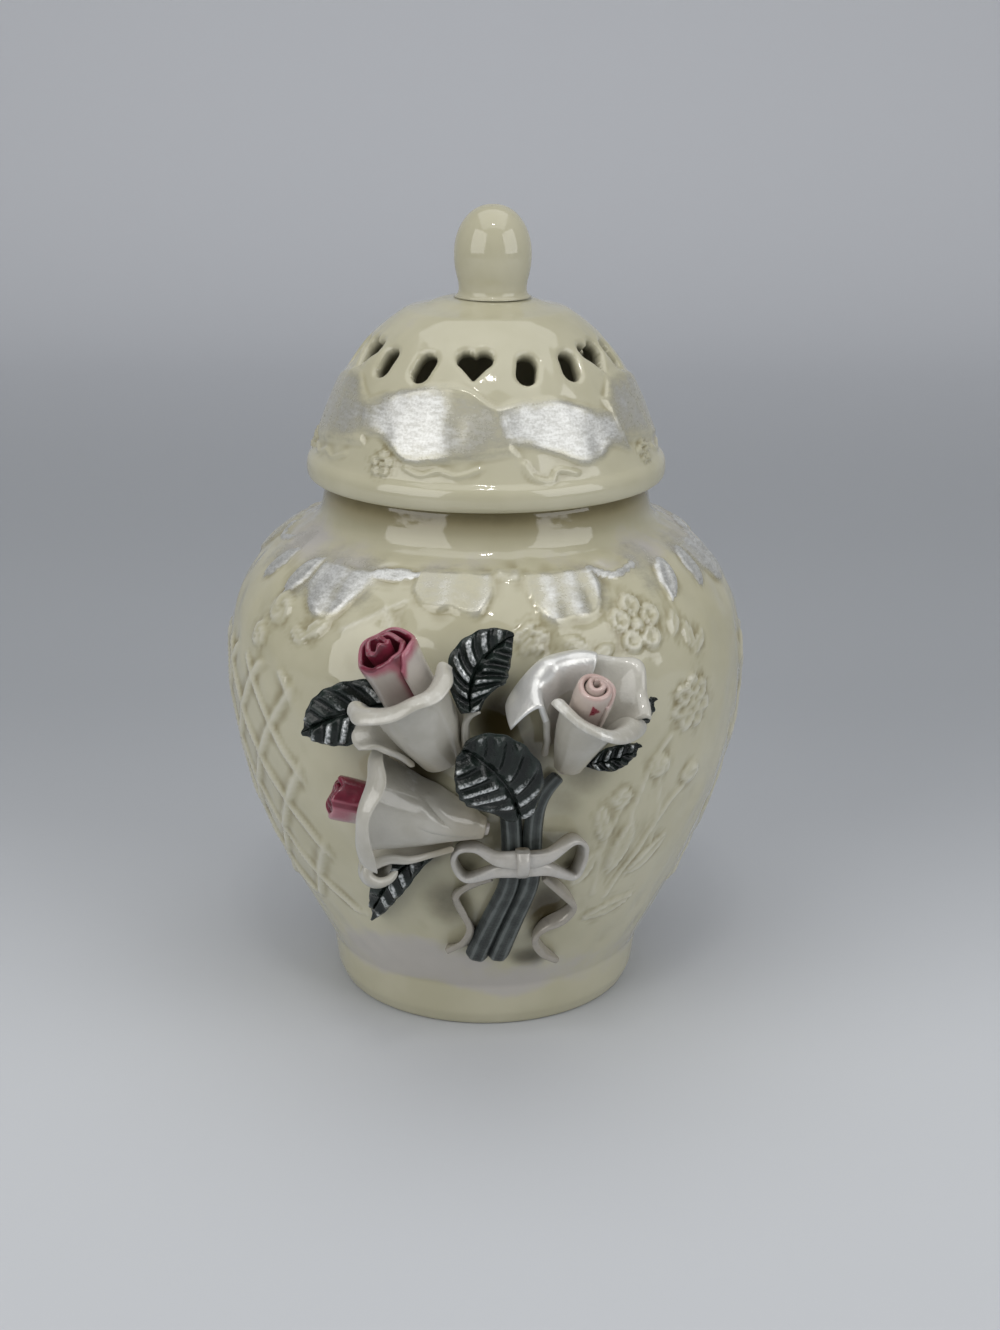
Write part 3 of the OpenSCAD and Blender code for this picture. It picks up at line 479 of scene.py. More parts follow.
# The jar: relief modelled on the glaze before firing
class Relief:
    """Heights raised on a grid of angles in degrees and rows of an outline, where the higher of two motifs stays, and
    the shares of lustre, of pearl with a painted sheen, and of painted shadow put there."""

    def __init__(self, angles, line):
        self.a = angles[None, :]
        self.r, self.z = line[:, :1], line[:, 1:]
        self.run = lengths(line)[:, None]
        self.high, self.lustre, self.pearl, self.painted_shadow = np.zeros((4, len(line), len(angles)))

    def run_at(self, z):
        """Length along the outline at a height."""
        return np.interp(z, self.z[:, 0], self.run[:, 0])

    def local(self, a, z, turn=0.0):
        """Millimetres across and up from a place on the surface, turned."""
        x = np.radians(wrapped(self.a - a)) * self.r
        y = self.run - self.run_at(z)
        c, s = math.cos(math.radians(turn)), math.sin(math.radians(turn))
        return x * c + y * s, y * c - x * s

    def lift(self, h, lustre=None):
        """Keeps the higher of what is there and a new height."""
        self.high = np.maximum(self.high, h)
        if lustre is not None:
            self.lustre = np.maximum(self.lustre, lustre)

    def blossom(self, a, z, r, petals=5, long=1.0):
        """Round cupped petals in a ring about a boss: each a rim where its distance is three quarters of its radius."""
        x, y = self.local(a, z)
        h = 0.75 * np.sqrt(np.clip(1 - np.square(np.hypot(x, y) / (0.24 * r)), 0, 1))
        for k in range(petals):
            t = 2 * math.pi * k / petals + 0.5 * math.pi
            p, q = x * math.cos(t) + y * math.sin(t) - 0.66 * r, y * math.cos(t) - x * math.sin(t)
            d = np.hypot(p / long, q * long) / (0.37 * r)
            h = np.maximum(h, 0.72 * hump(d - 0.76, 0.21) + 0.28 * np.clip(1 - d * d, 0, 1))
        self.lift(h)

    def rosette(self, a, z, r, arms=3):
        """A low dome with spiral furrows: the cosine of the turn plus the distance outwards."""
        x, y = self.local(a, z)
        d, t = np.hypot(x, y) / r, np.arctan2(y, x)
        self.lift(0.82 * np.clip(1 - d ** 4, 0, 1) ** 0.5 * (0.76 + 0.24 * np.cos(arms * t + 8 * d)))

    def leaf(self, a, z, long, wide, turn, lustre=False):
        """A pointed oval, one less the square of x times its width, with a raised edge, furrowed along its rib."""
        x, y = self.local(a, z, turn)
        p = np.clip(x / long, -1, 1)
        q = np.abs(y) / np.maximum(wide * (1 - p * p), 0.05)
        body = np.clip(1 - q ** 4, 0, 1) * (np.abs(x) < long)
        veins = 0.1 * np.cos(2 * math.pi * (x - 0.7 * np.abs(y)) / 1.9) * ease(0.1, 0.5, q)
        h = RELIEF_H * body * (0.8 - 0.45 * hump(y, 0.35) + veins + 0.45 * hump(q - 0.72, 0.2))
        self.lift(h, ease(0.05, 0.5, body) if lustre else None)

    def stem(self, places, wide=0.55, tall=0.5, lustre=False):
        """A cord of clay along a smooth line through places: a hump over the least distance to it."""
        a0, z0 = places[0]
        x, y = self.local(a0, z0)
        at = np.array([[math.radians(a - a0) * glaze_r(z), self.run_at(z) - self.run_at(z0)] for a, z in places])
        line = through(at, np.linspace(0, len(at) - 1, 6 * len(at)))
        d = np.full(x.shape, 1e3)
        for p, q in zip(line[:-1], line[1:]):
            v = q - p
            t = np.clip(((x - p[0]) * v[0] + (y - p[1]) * v[1]) / max(v @ v, 1e-9), 0, 1)
            d = np.minimum(d, np.hypot(x - p[0] - t * v[0], y - p[1] - t * v[1]))
        h = hump(d, wide)
        self.lift(tall * h, ease(0.3, 0.6, h) if lustre else None)

    def trellis(self, turn, half, low, high):
        """Two sets of slanting bars as seen square to a turn: even steps of the way across, plus or less the height,
        each bar a rounded ridge."""
        across = self.r * np.sin(np.radians(self.a - turn))
        up = (self.z - 0.8 * BELLY_Z) / DIAMOND_H
        step = lambda w: np.abs((w + 0.5) % 1 - 0.5) * DIAMOND_W * DIAMOND_H / math.hypot(DIAMOND_W, DIAMOND_H)
        d = np.minimum(step(across / DIAMOND_W + up), step(across / DIAMOND_W - up))
        facing = np.cos(np.radians(self.a - turn)) > 0
        edge = np.minimum(half - np.abs(across), np.minimum(self.z - low, high - self.z))
        self.lift(RELIEF_H * 1.1 * hump(d, 0.52 * BAR_W) * ease(-0.6, 0.8, edge) * facing)

    def drape(self, a0, a1, top, hem, folds, shine=1.0):
        """Cloth hung from a line: it ends at drops given across its width, and its folds are a cosine of the share."""
        t = wrapped(self.a - a0) / (a1 - a0)
        drop = through(np.array(hem, float)[:, None], np.clip(t, 0, 1) * (len(hem) - 1))[..., 0]
        start, end = self.run_at(SHOULDER_Z - top), self.run_at(SHOULDER_Z - drop)
        edge = np.minimum(start - self.run, self.run - end)
        edge = np.minimum(edge, np.minimum(t, 1 - t) * math.radians(a1 - a0) * self.r)
        down = np.clip((start - self.run) / np.maximum(start - end, 0.1), 0, 1)
        fold = np.cos(2 * math.pi * folds * t + 0.6 + 0.8 * down)
        h = ease(-0.5, 1.1, edge) * (0.46 + 0.2 * (0.3 + 0.7 * down) * fold + 0.12 * hump(edge - 0.7, 0.6))
        self.lift(h, shine * ease(-1.0, 1.7, edge) * (0.8 + 0.2 * fold))

    def brush(self, a0, a1, low, high, share):
        """Lustre wiped over a patch: a share that falls off near its sides and its ends."""
        t = wrapped(self.a - a0) / (a1 - a0)
        side = ease(0, 0.3, t) * ease(1, 0.7, t)
        ends = share * side * ease(low - 2, low + 2.5, self.z) * ease(high + 1.5, high - 2, self.z)
        self.lustre = np.maximum(self.lustre, ends)

    def add_painted_shadow(self, x, z, wide, high, share):
        """Painted shadow in a corner at the front: a share that falls off with the distance from a place."""
        turn = np.radians(self.a)
        far = np.hypot((self.r * np.sin(turn) - x) / wide, (self.z - z) / high)
        self.painted_shadow = np.maximum(self.painted_shadow, share * ease(1.0, 0.1, far) * (np.cos(turn) > 0))

    def unevenness(self, deep):
        """Hand smoothing: the mean of sines of whole turns round the axis and of the length along the outline."""
        a = np.radians(self.a)
        h = np.zeros(self.high.shape)
        for k, (turns, rise) in enumerate([(7, 0.31), (11, -0.23), (16, 0.12), (23, 0.4), (19, -0.47), (31, 0.2),
                                           (27, -0.34), (38, 0.55), (5, 0.62), (43, -0.15)]):
            h = h + np.sin(turns * a + rise * self.run + 1.7 * k)
        self.high = self.high + deep * h / 3


def furrows(high, reach):
    """How far each point lies under the mean of its eight neighbours at some steps along both ways of the grid, as a
    share of a full depth, less a share that stays free."""
    full, free = 0.28, 0.22
    total = np.zeros_like(high)
    for k in (-reach, -reach // 2, reach // 2, reach):
        up = np.clip(np.arange(len(high)) + k, 0, len(high) - 1)
        total += np.roll(high, k, 1) + high[up]
    return np.clip((total / 8 - high) / full - free, 0, 1)


# Cloth: the angles of its sides, the drop where it hangs, the drops of its hem, folds and shine
DRAPES = ((-49, -29.5, 2.8, [7, 9.6, 11.2, 11.4, 10.4, 7.4, 4.4], 2.5, 1.25),
          (-18.5, 2.5, 1.6, [4.6, 6.8, 7.6, 7.4, 8.2, 8.2, 4.8], 2, 0.56), (3, 10, 1.2, [2.6, 3.2, 3], 1, 0.5),
          (10.5, 31, 1.8, [4.4, 9.2, 10.2, 9.4, 9.6, 8.6, 4.4], 3, 0.74))
# Lustre wiped on: the angles of its sides, the drops of its lower and upper end, and its share
BRUSHES = (-62, -22, 9, 1, 0.5), (-22, 6, 6, 1, 0.42), (8, 36, 9, 1.5, 0.46), (40, 58, 8, 0, 0.42)
# Painted shadow in the bouquet's corners: place across and up at the front, reach across and up, and share
PAINTED_SHADOWS = ((-12, 67, 11, 9, 0.85), (3, 77, 9, 13, 0.95), (8, 70, 8, 9, 0.8), (12, 50, 10, 6, 0.45),
          (12.5, 33, 8, 12, 0.95), (-7, 35, 9, 11, 0.6), (9.3, 19, 7, 5, 0.8), (-13, 48, 10, 7, 0.8),
          (20, 64, 10, 8, 0.55), (-20, 84, 12, 9, 0.3), (0, 54, 12, 14, 0.5), (16, 60, 8, 10, 0.4))


def dress_body(relief):
    """Drapery with lustre round the shoulder, a trellis and flowers round the belly, a mauve band over the foot, a
    painted sheen at the sides of the shoulder, and painted shadow under the rim and in the corners of the bouquet. The
    larger forms stand where the part's source has them."""
    top, low = SHOULDER_Z, BELLY_Z

    def leaves(turn, rows, lustre=False):
        """Leaves in a list of angle, height, length, width and lean, turned round the jar."""
        for a, *rest in rows:
            relief.leaf(turn + a, *rest, lustre)

    def stems(turn, rows, wide=0.45, lustre=False):
        """Stems in a list of thickness and places, turned round the jar."""
        for tall, *places in rows:
            relief.stem([(turn + a, z) for a, z in places], wide, tall, lustre)

    for turn in (0, 120, 240):
        for a0, a1, *cloth in DRAPES:
            relief.drape(turn + a0, turn + a1, *cloth)
        for a0, a1, deep, start, share in BRUSHES:
            relief.brush(turn + a0, turn + a1, top - deep, top - start, share)
        leaves(turn, ((-24.4, top - 2.8, 5.6, 1.7, 6), (53, top - 5.8, 5.6, 2.6, 62),
                      (66.5, top - 5.8, 5.6, 2.6, 68)), True)
        stems(turn, ((0.5, (30, top - 2.1), (36, top - 3.6), (44.5, top - 2.7)),), 0.9, True)
    for turn in (0, 128, 180):
        relief.blossom(turn + 36.4, top - 11.6, BLOSSOM_R)
        relief.blossom(turn + 10, top - 12.2, 3.0)
        relief.blossom(turn + 49, low - 0.4, 0.9 * BLOSSOM_R, 7, 1.16)
        relief.rosette(turn + 40.5, 0.84 * low, 0.44 * BLOSSOM_R)
        relief.rosette(turn + 51.5, 0.78 * low, 0.44 * BLOSSOM_R, 2)
        relief.rosette(turn + 31, 0.77 * low, 2.4, 4)
        leaves(turn, ((20, top - 13.6, 3.4, 1.4, -24), (26, top - 15.6, 3.4, 1.4, 28), (47, top - 13, 3.4, 1.5, 60),
                      (50.5, top - 15.8, 3.4, 1.5, 100), (53.5, top - 18, 3.2, 1.4, 35),
                      (33.5, 0.61 * low, 7.5, 2.4, 78), (43, 0.55 * low, 6.5, 2.2, 40), (36, 0.39 * low, 6.5, 2.2, 14),
                      (27, 0.7 * low, 5.0, 1.7, 104), (24.5, 0.56 * low, 5.2, 1.8, 66)))
        stems(turn, ((0.45, (43, low - 6), (38, 64), (35, 56), (34, 50)),
                     (0.45, (50, 56), (44, 51), (37, 40), (33, 33)), (0.4, (41, 60), (42.5, 52), (43, 44)),
                     (0.4, (31, 0.74 * low), (28, 0.6 * low), (29, 0.46 * low))))
    for turn in (0, 180):
        relief.rosette(turn - 53.5, top - 11.8, 0.6 * BLOSSOM_R)
        relief.rosette(turn - 58.5, top - 18, 0.44 * BLOSSOM_R)
        leaves(turn, ((-40, top - 13.4, 3.2, 1.7, 40), (-44.5, top - 15.4, 3.0, 1.5, -30)))
        stems(turn, ((0.4, (-33, 91.4), (-27, 94.2), (-19, 97.6)), (0.4, (-24, 96.4), (-21, 93.5), (-19.5, 91))))
        relief.trellis(turn - 73, 0.49 * BELLY_R, 0.36 * low, low + 6)
    sway = 2.2 * np.sin(np.radians(relief.a * 3)) + 1.4 * np.sin(np.radians(relief.a * 7 + 40))
    relief.pearl = ((0.66 + 0.34 * np.cos(np.radians(3 * relief.a + 36))) * ease(6.5, 10.5, relief.z + 0.5 * sway)
                    * ease(25, 14.5, relief.z + 1.3 * sway))
    # Painted sheen: a mauve pearl tone on the shoulder, strongest at its left and right sides as seen from the front.
    relief.pearl = np.maximum(relief.pearl, (0.3 + 0.35 * np.sin(np.radians(relief.a)) ** 2)
                              * hump(relief.z - 102.5 - 0.6 * sway, 4.0))
    # Painted shadow on the neck just under the lid's lip, then in the corners round the bouquet.
    relief.painted_shadow = 0.4 * ease(108.5, 111.5, relief.z) * ease(113.2, 112.2, relief.z)
    for painted_shadow in PAINTED_SHADOWS:
        relief.add_painted_shadow(*painted_shadow)
    relief.unevenness(0.11)
    relief.high *= ease(12, 20, relief.z) * ease(106, 103, relief.z)


def raised(line, high):
    """Radius and height of an outline's points pushed out by a height along its normal, its slope turned a quarter."""
    slope = unit(np.gradient(line, axis=0))
    return line[:, :1] + high * slope[:, 1:], line[:, 1:] - high * slope[:, :1]


def make_vase_body():
    """The jar's outline carried round the axis, its outer wall raised by the relief along the outline's normal; the
    inside follows the outline at the thickness of the wall, and the floor and the foot's recess close on the axis."""
    n = JAR_STEPS
    angles = np.arange(n) * 360.0 / n
    tangent = unit(np.gradient(wall_curve, axis=0))
    core = wall_curve + WALL * np.stack([-tangent[:, 1], tangent[:, 0]], 1)
    neck_z = 100
    core = core[(core[:, 1] > ANKLE_Z) & (core[:, 1] < neck_z)][::-1]
    under = respace(soften([[0, FOOT_RECESS], [22, FOOT_RECESS], [26, FOOT_RECESS], [26.9, 1.6], [27, 0], [29, 0],
                            [31.6, 0]], 2)[1:], FOOT_ROWS)
    outer = respace(outer_line, JAR_ROWS)
    floor = FOOT_RECESS + FLOOR_T
    inner = soften(np.vstack([[[32.6, RIM_Z], [30.6, RIM_Z], [29.8, 112], [29.8, 103], [31.5, 100.5]], core,
                              [[core[-1, 0] - 2.5, 8.1], [core[-1, 0] - 6, floor], [10, floor]]]), 1)
    inner = respace(inner, INSIDE_ROWS)
    relief = Relief(angles, outer)
    dress_body(relief)
    line = np.vstack([under, outer, inner])
    r, z = np.repeat(line[:, :1], n, 1), np.repeat(line[:, 1:], n, 1)
    rows = slice(len(under), len(under) + len(outer))
    r[rows], z[rows] = raised(outer, relief.high)
    points, faces = tube(round_axis(r, np.radians(angles), z), [[0, 0, FOOT_RECESS]], [[0, 0, floor]])
    paints = {}
    # Pooled glaze and painted shade in the relief's hollows, and painted shade on the neck under the lid's lip.
    deep = np.maximum(furrows(relief.high, 4), ease(104.5, 112, relief.z))
    # Painted besides the lustre and the pearl band: shade in hollows and under the lip, a highlight on crests, shadow
    # in the bouquet's corners and a sheen on the shoulder.
    for key, value in (("lustre", relief.lustre), ("pearl", relief.pearl), ("recess", deep), ("painted_shadow", relief.painted_shadow),
                       ("crest", furrows(-relief.high, 3))):
        full = np.zeros(r.shape)
        full[rows] = value
        paints[key] = capped(full)
    return piece("vase_body_glazed", points, faces, cream_glaze, "vase", "vase_body", paints)


# The lid: dome with its drapery, pierced by hearts and ovals
dome_curve = bezier([[DOME_R, DOME_Z], [mix(CROWN_R, DOME_R, 0.82), DOME_Z + 0.31 * DOME_H],
                     [mix(CROWN_R, DOME_R, 0.65), DOME_Z + 0.75 * DOME_H], [CROWN_R, CROWN_Z]], 100)


def hole_distance(x, y, kind):
    """Distance from a hole's outline, less than nil inside: two round lobes joined to a pointed kite for a heart, the
    distance to a short line less half the width for an oval."""
    if kind == "heart":
        w = HEART_W
        lobe = 0.27 * w
        lobes = np.hypot(np.abs(x) - (w / 2 - lobe), y - 0.17 * w) - lobe
        low, top = unit(np.array([0.52, -0.455])), unit(np.array([0.28, 0.455]))
        p, q, soft = np.abs(x) - 0.455 * w, y - 0.02 * w, 0.5
        kite = np.maximum(p * low[0] + q * low[1], p * top[0] + q * top[1])
        share = np.clip(0.5 + 0.5 * (lobes - kite) / soft, 0, 1)
        return mix(lobes, kite, share) - soft * share * (1 - share)
    half = 0.5 * (OVAL_H - OVAL_W)
    return np.hypot(x, y - np.clip(y, -half, half)) - OVAL_W / 2 * (1 + 0.07 * y / OVAL_H)


def holes_at(angle, run, r):
    """Least distance from any of the holes, every third a heart, at angles in degrees and lengths along the dome from
    the row."""
    least = np.full(np.broadcast(angle, run).shape, 99.0)
    step, leans = 360 / HOLES, (0, -16, -8, 0, -6, -14)
    for k in range(HOLES):
        middle = HEART_TURN + step * k + HOLE_DRIFT * math.sin(math.radians(2 * step * k))
        x = np.radians(wrapped(angle - middle)) * r
        lean = math.radians(leans[k % len(leans)])
        up = run - (HEART_UP if k % 3 == 0 else 0)
        u, v = x * math.cos(lean) + up * math.sin(lean), up * math.cos(lean) - x * math.sin(lean)
        least = np.minimum(least, hole_distance(u, v, "heart" if k % 3 == 0 else "oval"))
    return least


def pierce(value, tri):
    """Cuts triangles where a value on their corners passes nil and keeps the part above it. Gives the pairs of corners
    and shares that make the new points, the kept triangles, and the pairs of points along the cut."""
    up = value > 0
    count = up[tri].sum(1)
    keep = [tri[count == 3]]

    def turned(t, lone):
        """Triangles with their corners in turn, from the one that alone is above nil, or alone isn't."""
        first = np.argmax(up[t] == lone, axis=1)
        return t[np.arange(len(t))[:, None], (first[:, None] + np.arange(3)) % 3]

    one, two = turned(tri[count == 1], True), turned(tri[count == 2], False)
    edges = np.vstack([one[:, [0, 1]], one[:, [0, 2]], two[:, [1, 0]], two[:, [2, 0]]])
    code = np.sort(edges, 1)
    code, back = np.unique(code[:, 0] * len(value) + code[:, 1], return_inverse=True)
    ends = np.stack([code // len(value), code % len(value)], 1)
    share = value[ends[:, 0]] / (value[ends[:, 0]] - value[ends[:, 1]])
    number = back.ravel() + len(value)
    a, b = number[:len(one)], number[len(one):2 * len(one)]
    c, d = np.split(number[2 * len(one):], 2)
    keep += [np.stack([one[:, 0], a, b], 1), np.stack([two[:, 1], two[:, 2], d], 1),
             np.stack([two[:, 1], d, c], 1)]
    cuts = np.vstack([np.stack([a, b], 1), np.stack([d, c], 1)])
    return ends, share, np.vstack(keep), cuts


def dress_lid(relief):
    """Seven swags of cloth hung round the dome under the holes, each between a crest and a hem given across its width
    and lapped over the next, with drips of glaze below."""
    edges = (-50, 4.5, 50, 103, 156, 207, 259, 310)
    full = [132.5, 134, 135.3, 136.3, 136.9, 136.1, 132.9], [125.8, 125.7, 122, 122.2, 122.8, 123.4, 124]
    slack = [133, 133.8, 134.1, 134, 132.8, 131.4, 130.5], [125.6, 125, 123.4, 121.4, 121.8, 123.8, 122.2]
    slant = relief.a - 0.5 * (133 - relief.z)
    for k in range(len(edges) - 1):
        wide = edges[k + 1] - edges[k]
        t = wrapped(slant - edges[k]) / wide
        crest, hem = (np.array(line, float)[:, None] for line in (full, slack)[k % 2])
        if k in (2, 3):
            crest, hem = crest[::-1], hem[::-1]
        at = (len(hem) - 1) * np.clip(t, 0, 1)
        crest, hem = through(crest, at)[..., 0], through(hem, at)[..., 0]
        across = np.minimum(t, 1 - t) * math.radians(wide) * relief.r
        edge = np.minimum(np.minimum(crest - relief.z, relief.z - hem), across + 0.7)
        down = np.clip((crest - relief.z) / 12, 0, 1)
        folds = 0.07 * np.cos(2 * np.pi * (1.6 * t + 0.3 * down)) + 0.06 * down * np.cos(7 * np.pi * t + k)
        h = ease(-0.7, 1.2, edge) * ((0.52, 0.4)[k % 2] + 1.3 * folds + 0.1 * hump(edge - 0.7, 0.7))
        shine = (1.0 - 0.45 * ease(0.5, 0.74, t) - 0.2 * ease(0.2, 0.1, t) if k == 0 else
                 (0, 1.0 - 0.2 * ease(0.85, 1, t), 0.6, 0.9, 0.6, 1.0, 0.6)[k])
        fade = ease(-0.2, 3.6, np.minimum(crest - relief.z, relief.z - hem)) * (0.7 + 0.3 * ease(0, 3, across))
        relief.lift(h, shine * (0.45 * ease(-0.9, 0.8, edge) + 0.55 * fade * ease(-0.9, 0.8, edge)))
        a = edges[k]
        if k % 2:
            relief.stem([(a + 8, 122.3), (a + 11, 119.9), (a + 17, 118.9), (a + 20, 121), (a + 27, 120)], 0.55, 0.5)
        else:
            relief.blossom(a + 15, 121.2, 2.6)
            relief.stem([(a + 24, 121), (a + 30, 120), (a + 36, 121), (a + 43, 120.2), (a + 50, 121.6)], 0.5, 0.4)


def make_lid():
    """The lid's outline carried round the axis. The band with the holes is a net of triangles on angle and length along
    the dome, cut along the holes' outlines; its outer and inner sides lie a wall apart and meet in the holes' sides.
    Outside and inside plain rings join it to the lip, which a hump over its height rolls out, to the crown and to the
    ring that drops into the mouth."""
    n, band = LID_STEPS, BAND_ROWS
    reach, dip = 6.2, 0.55
    angles = np.arange(n) * 360.0 / n
    a = np.radians(angles)
    run_all, slope_all = lengths(dome_curve), unit(np.gradient(dome_curve, axis=0))
    read = lambda table, run: np.stack([np.interp(run, run_all, table[:, k]) for k in (0, 1)], -1)
    at_run = lambda run: read(dome_curve, run)

    def behind(run, deep):
        """Places a depth behind the dome, along its slope turned a quarter, at lengths along it."""
        lean = read(slope_all, run)
        return at_run(run) + deep * np.stack([-lean[..., 1], lean[..., 0]], -1)

    row_run = np.interp(ROW_AT * (len(dome_curve) - 1), np.arange(len(dome_curve)), run_all)
    low, high = row_run - reach, row_run + reach
    band_run = np.linspace(low, high, band)
    lip = respace(soften([[31, LID_Z], [LIP_R - 1.6, LID_Z], [LIP_R - 0.1, LID_Z + 0.5], [LIP_R + 0.1, LID_Z + 2],
                          [LIP_R - 0.3, LID_Z + 3.4], [DOME_R + 0.05, DOME_Z + 0.4], at_run(1.2)], 2), 30)[:-1]
    swag = at_run(np.linspace(1.2, low, 46))[:-1]
    crown = np.vstack([at_run(np.linspace(high, run_all[-1] - 0.1, 10)),
                       [[CROWN_R - 0.7, CROWN_Z + 0.1], [CROWN_R - 4, CROWN_Z + 0.8],
                        [KNOB_FOOT_R + 2.5, SEAT_Z - 0.2], [KNOB_FOOT_R - 1, SEAT_Z], [4, SEAT_Z]]])
    crown = respace(soften(crown, 1), 32)[1:]
    outer = np.vstack([lip, swag, at_run(band_run), crown])
    first = len(lip) + len(swag)
    rows = slice(first, first + band)
    relief = Relief(angles, outer)
    dress_lid(relief)
    relief.unevenness(0.05)
    relief.high *= ease(117.8, 119.2, relief.z) * ease(146, 143, relief.z)
    f = holes_at(angles[None, :], band_run[:, None] - row_run, outer[rows, :1])
    f = np.where(np.abs(f) < 2e-3, 2e-3, f)
    soft_edge = np.zeros(relief.high.shape)
    soft_edge[rows] = -dip * np.square(np.clip(1 - f / 1.1, 0, 1)) * (f > 0)
    roll = 0.42 * hump(outer[:, 1:] - LID_Z - 4.0, 1.6) * (outer[:, :1] > 30)
    r, z = raised(outer, relief.high + soft_edge + roll)
    skin = round_axis(r, a, z)

    tri = halves(ring_quads(np.arange(band * n).reshape(band, n)))
    ends, share, kept, cuts = pierce(f.ravel(), tri)
    net_run, net_turn = np.repeat(band_run, n), np.tile(a, band)
    turn_a, turn_b = net_turn[ends[:, 0]], net_turn[ends[:, 1]]
    cut_turn = mix(turn_a, turn_a + (turn_b - turn_a + math.pi) % (2 * math.pi) - math.pi, share)
    all_run = np.r_[net_run, mix(net_run[ends[:, 0]], net_run[ends[:, 1]], share)]
    all_turn = np.r_[net_turn, cut_turn]

    def side(deep):
        """The points of the cut net at a depth behind the dome."""
        q = behind(all_run, deep)
        return round_axis(q[:, 0], all_turn, q[:, 1])

    outside = np.vstack([skin[rows].reshape(-1, 3), side(dip)[band * n:]])
    inside = side(LID_WALL)
    ceiling = respace([behind(high, LID_WALL), [CROWN_R - 4.2, CROWN_Z - 1.6], [CROWN_R - 8, SEAT_Z - 3.2],
                       [4, SEAT_Z - 3]], 8)[1:]
    step, fall = behind(low, LID_WALL), behind(4, LID_WALL)
    bore, foot = RING_R - RING_T, LID_Z - RING_DEPTH
    skirt = respace(soften([step, mix(step, fall, 0.5), fall, [bore + 1.5, LID_Z + 2.4], [bore, LID_Z + 0.4],
                            [bore, foot + 0.6], [bore + 0.7, foot], [RING_R - 0.8, foot], [RING_R, foot + 0.8],
                            [RING_R, LID_Z - 0.2], [RING_R + 0.3, LID_Z], [31, LID_Z]], 1), 26)[1:-1]
    round_it = lambda line: round_axis(line[:, :1], a, line[:, 1:])
    parts = [skin[:first], skin[first + band:], round_it(ceiling), round_it(skirt)]
    start = np.cumsum([0, len(outside), len(inside)] + [p.shape[0] * n for p in parts])
    points = np.vstack([outside, inside] + [p.reshape(-1, 3) for p in parts]
                       + [[[0, 0, SEAT_Z]], [[0, 0, SEAT_Z - 3]]])
    grid = lambda k: start[k] + np.arange(parts[k - 2].shape[0] * n).reshape(-1, n)
    rim_low, rim_high = np.arange(n), (band - 1) * n + np.arange(n)
    hem, cap, top, drop = grid(2), grid(3), grid(4), grid(5)
    inner = start[1]
    faces = [ring_quads(np.vstack([hem, rim_low])), kept, ring_quads(np.vstack([rim_high, cap])),
             fan(cap[-1], start[-1]), kept[:, ::-1] + inner,
             ring_quads(np.vstack([rim_high + inner, top]))[:, ::-1], fan(top[-1], start[-1] + 1)[:, ::-1],
             ring_quads(np.vstack([rim_low + inner, drop, hem[:1]])),
             np.stack([cuts[:, 1], cuts[:, 0], cuts[:, 0] + inner, cuts[:, 1] + inner], 1)]
    paints = {}
    # Pooled glaze and painted shade in the hollows of the lid's relief.
    for key, value in (("lustre", relief.lustre), ("recess", furrows(relief.high, 4))):
        paints[key] = np.zeros(len(points))
        paints[key][:band * n] = value[rows].ravel()
        paints[key][start[2]:start[3]] = value[:first].ravel()
    return piece("lid_glazed", points, faces, cream_glaze, "lid", "lid", paints)


def make_knob():
    """A plain egg: its outline, two cubic curves over a small foot of slip, carried round its own axis."""
    low = bezier([[KNOB_FOOT_R - 0.15, 1.2], [KNOB_FOOT_R - 0.3, 0.2 * KNOB_H], [KNOB_R, 0.24 * KNOB_H],
                  [KNOB_R, 0.47 * KNOB_H]], 20)
    top = bezier([[KNOB_R, 0.47 * KNOB_H], [KNOB_R, 0.74 * KNOB_H], [0.62 * KNOB_R, KNOB_H], [0.25, KNOB_H]], 36)
    foot = [[3, 0], [KNOB_FOOT_R + 0.9, 0], [KNOB_FOOT_R + 0.4, 0.25], [KNOB_FOOT_R, 0.65]]
    line = np.vstack([foot, low, top[1:]])
    a = steps_round(KNOB_STEPS)
    wobble = 1 + 0.006 * np.sin(2 * a + 0.5) + 0.004 * np.sin(3 * a)
    rings = round_axis(line[:, :1] * wobble, a, line[:, 1:] + SEAT_Z + SLIP) + [KNOB_SHIFT, 0, 0]
    points, faces = tube(rings, [[KNOB_SHIFT, 0, SEAT_Z + SLIP]], [[KNOB_SHIFT, 0, SEAT_Z + SLIP + KNOB_H]])
    return piece("lid_knob_glazed", points, faces, cream_glaze, "lid", "lid_knob")


# Roses
def rose_frame(foot, tip):
    """A rose's foot, its axis, its outward side and its right side."""
    p, q = on(foot), on(tip)
    axis = unit(q - p)
    o = outward((p + q) / 2)
    face = unit(o - (o @ axis) * axis)
    return p, axis, face, np.cross(axis, face)


def rose_at(frame_of, s, turn, r):
    """The place at a length s along a rose's axis, a turn in degrees and a radius."""
    p, axis, face, right = frame_of
    t = np.radians(turn)[..., None]
    return p + axis * np.asarray(s)[..., None] + np.asarray(r)[..., None] * (np.cos(t) * face + np.sin(t) * right)


rose_1 = rose_frame([-6.5, -6, 2.4], [-15.3, 20.5, 20])
rose_2 = rose_frame([15.2, -7.6, 2.4], [17.3, 13.8, 17])
rose_3 = rose_frame([1.3, -20.3, 1.8], [-26.4, -12.6, 9])
bud_1 = np.array([[0, 2.2], [3, 2.9], [8, 4.5], [13, 5.6], [18, 6.0], [24, 6.1], [29, 6.2], [32, 6.1]])
bud_2 = np.array([[0, 2], [4, 2.5], [10, 3.3], [16, 3.9], [20, 4.1], [22.6, 3.7], [24, 3.0]])
bud_3 = np.array([[0, 1.3], [5, 1.8], [11, 2.8], [17, 3.9], [23, 4.5], [28, 4.6], [32, 4.5]])


def wrap(rows, s, layer):
    """Radius of the middle of a petal that wraps a bud."""
    return np.interp(s, rows[:, 0], rows[:, 1]) + BUD_LAP / 2 + (layer + 1) * SLIP + (layer + 0.5) * PETAL_T


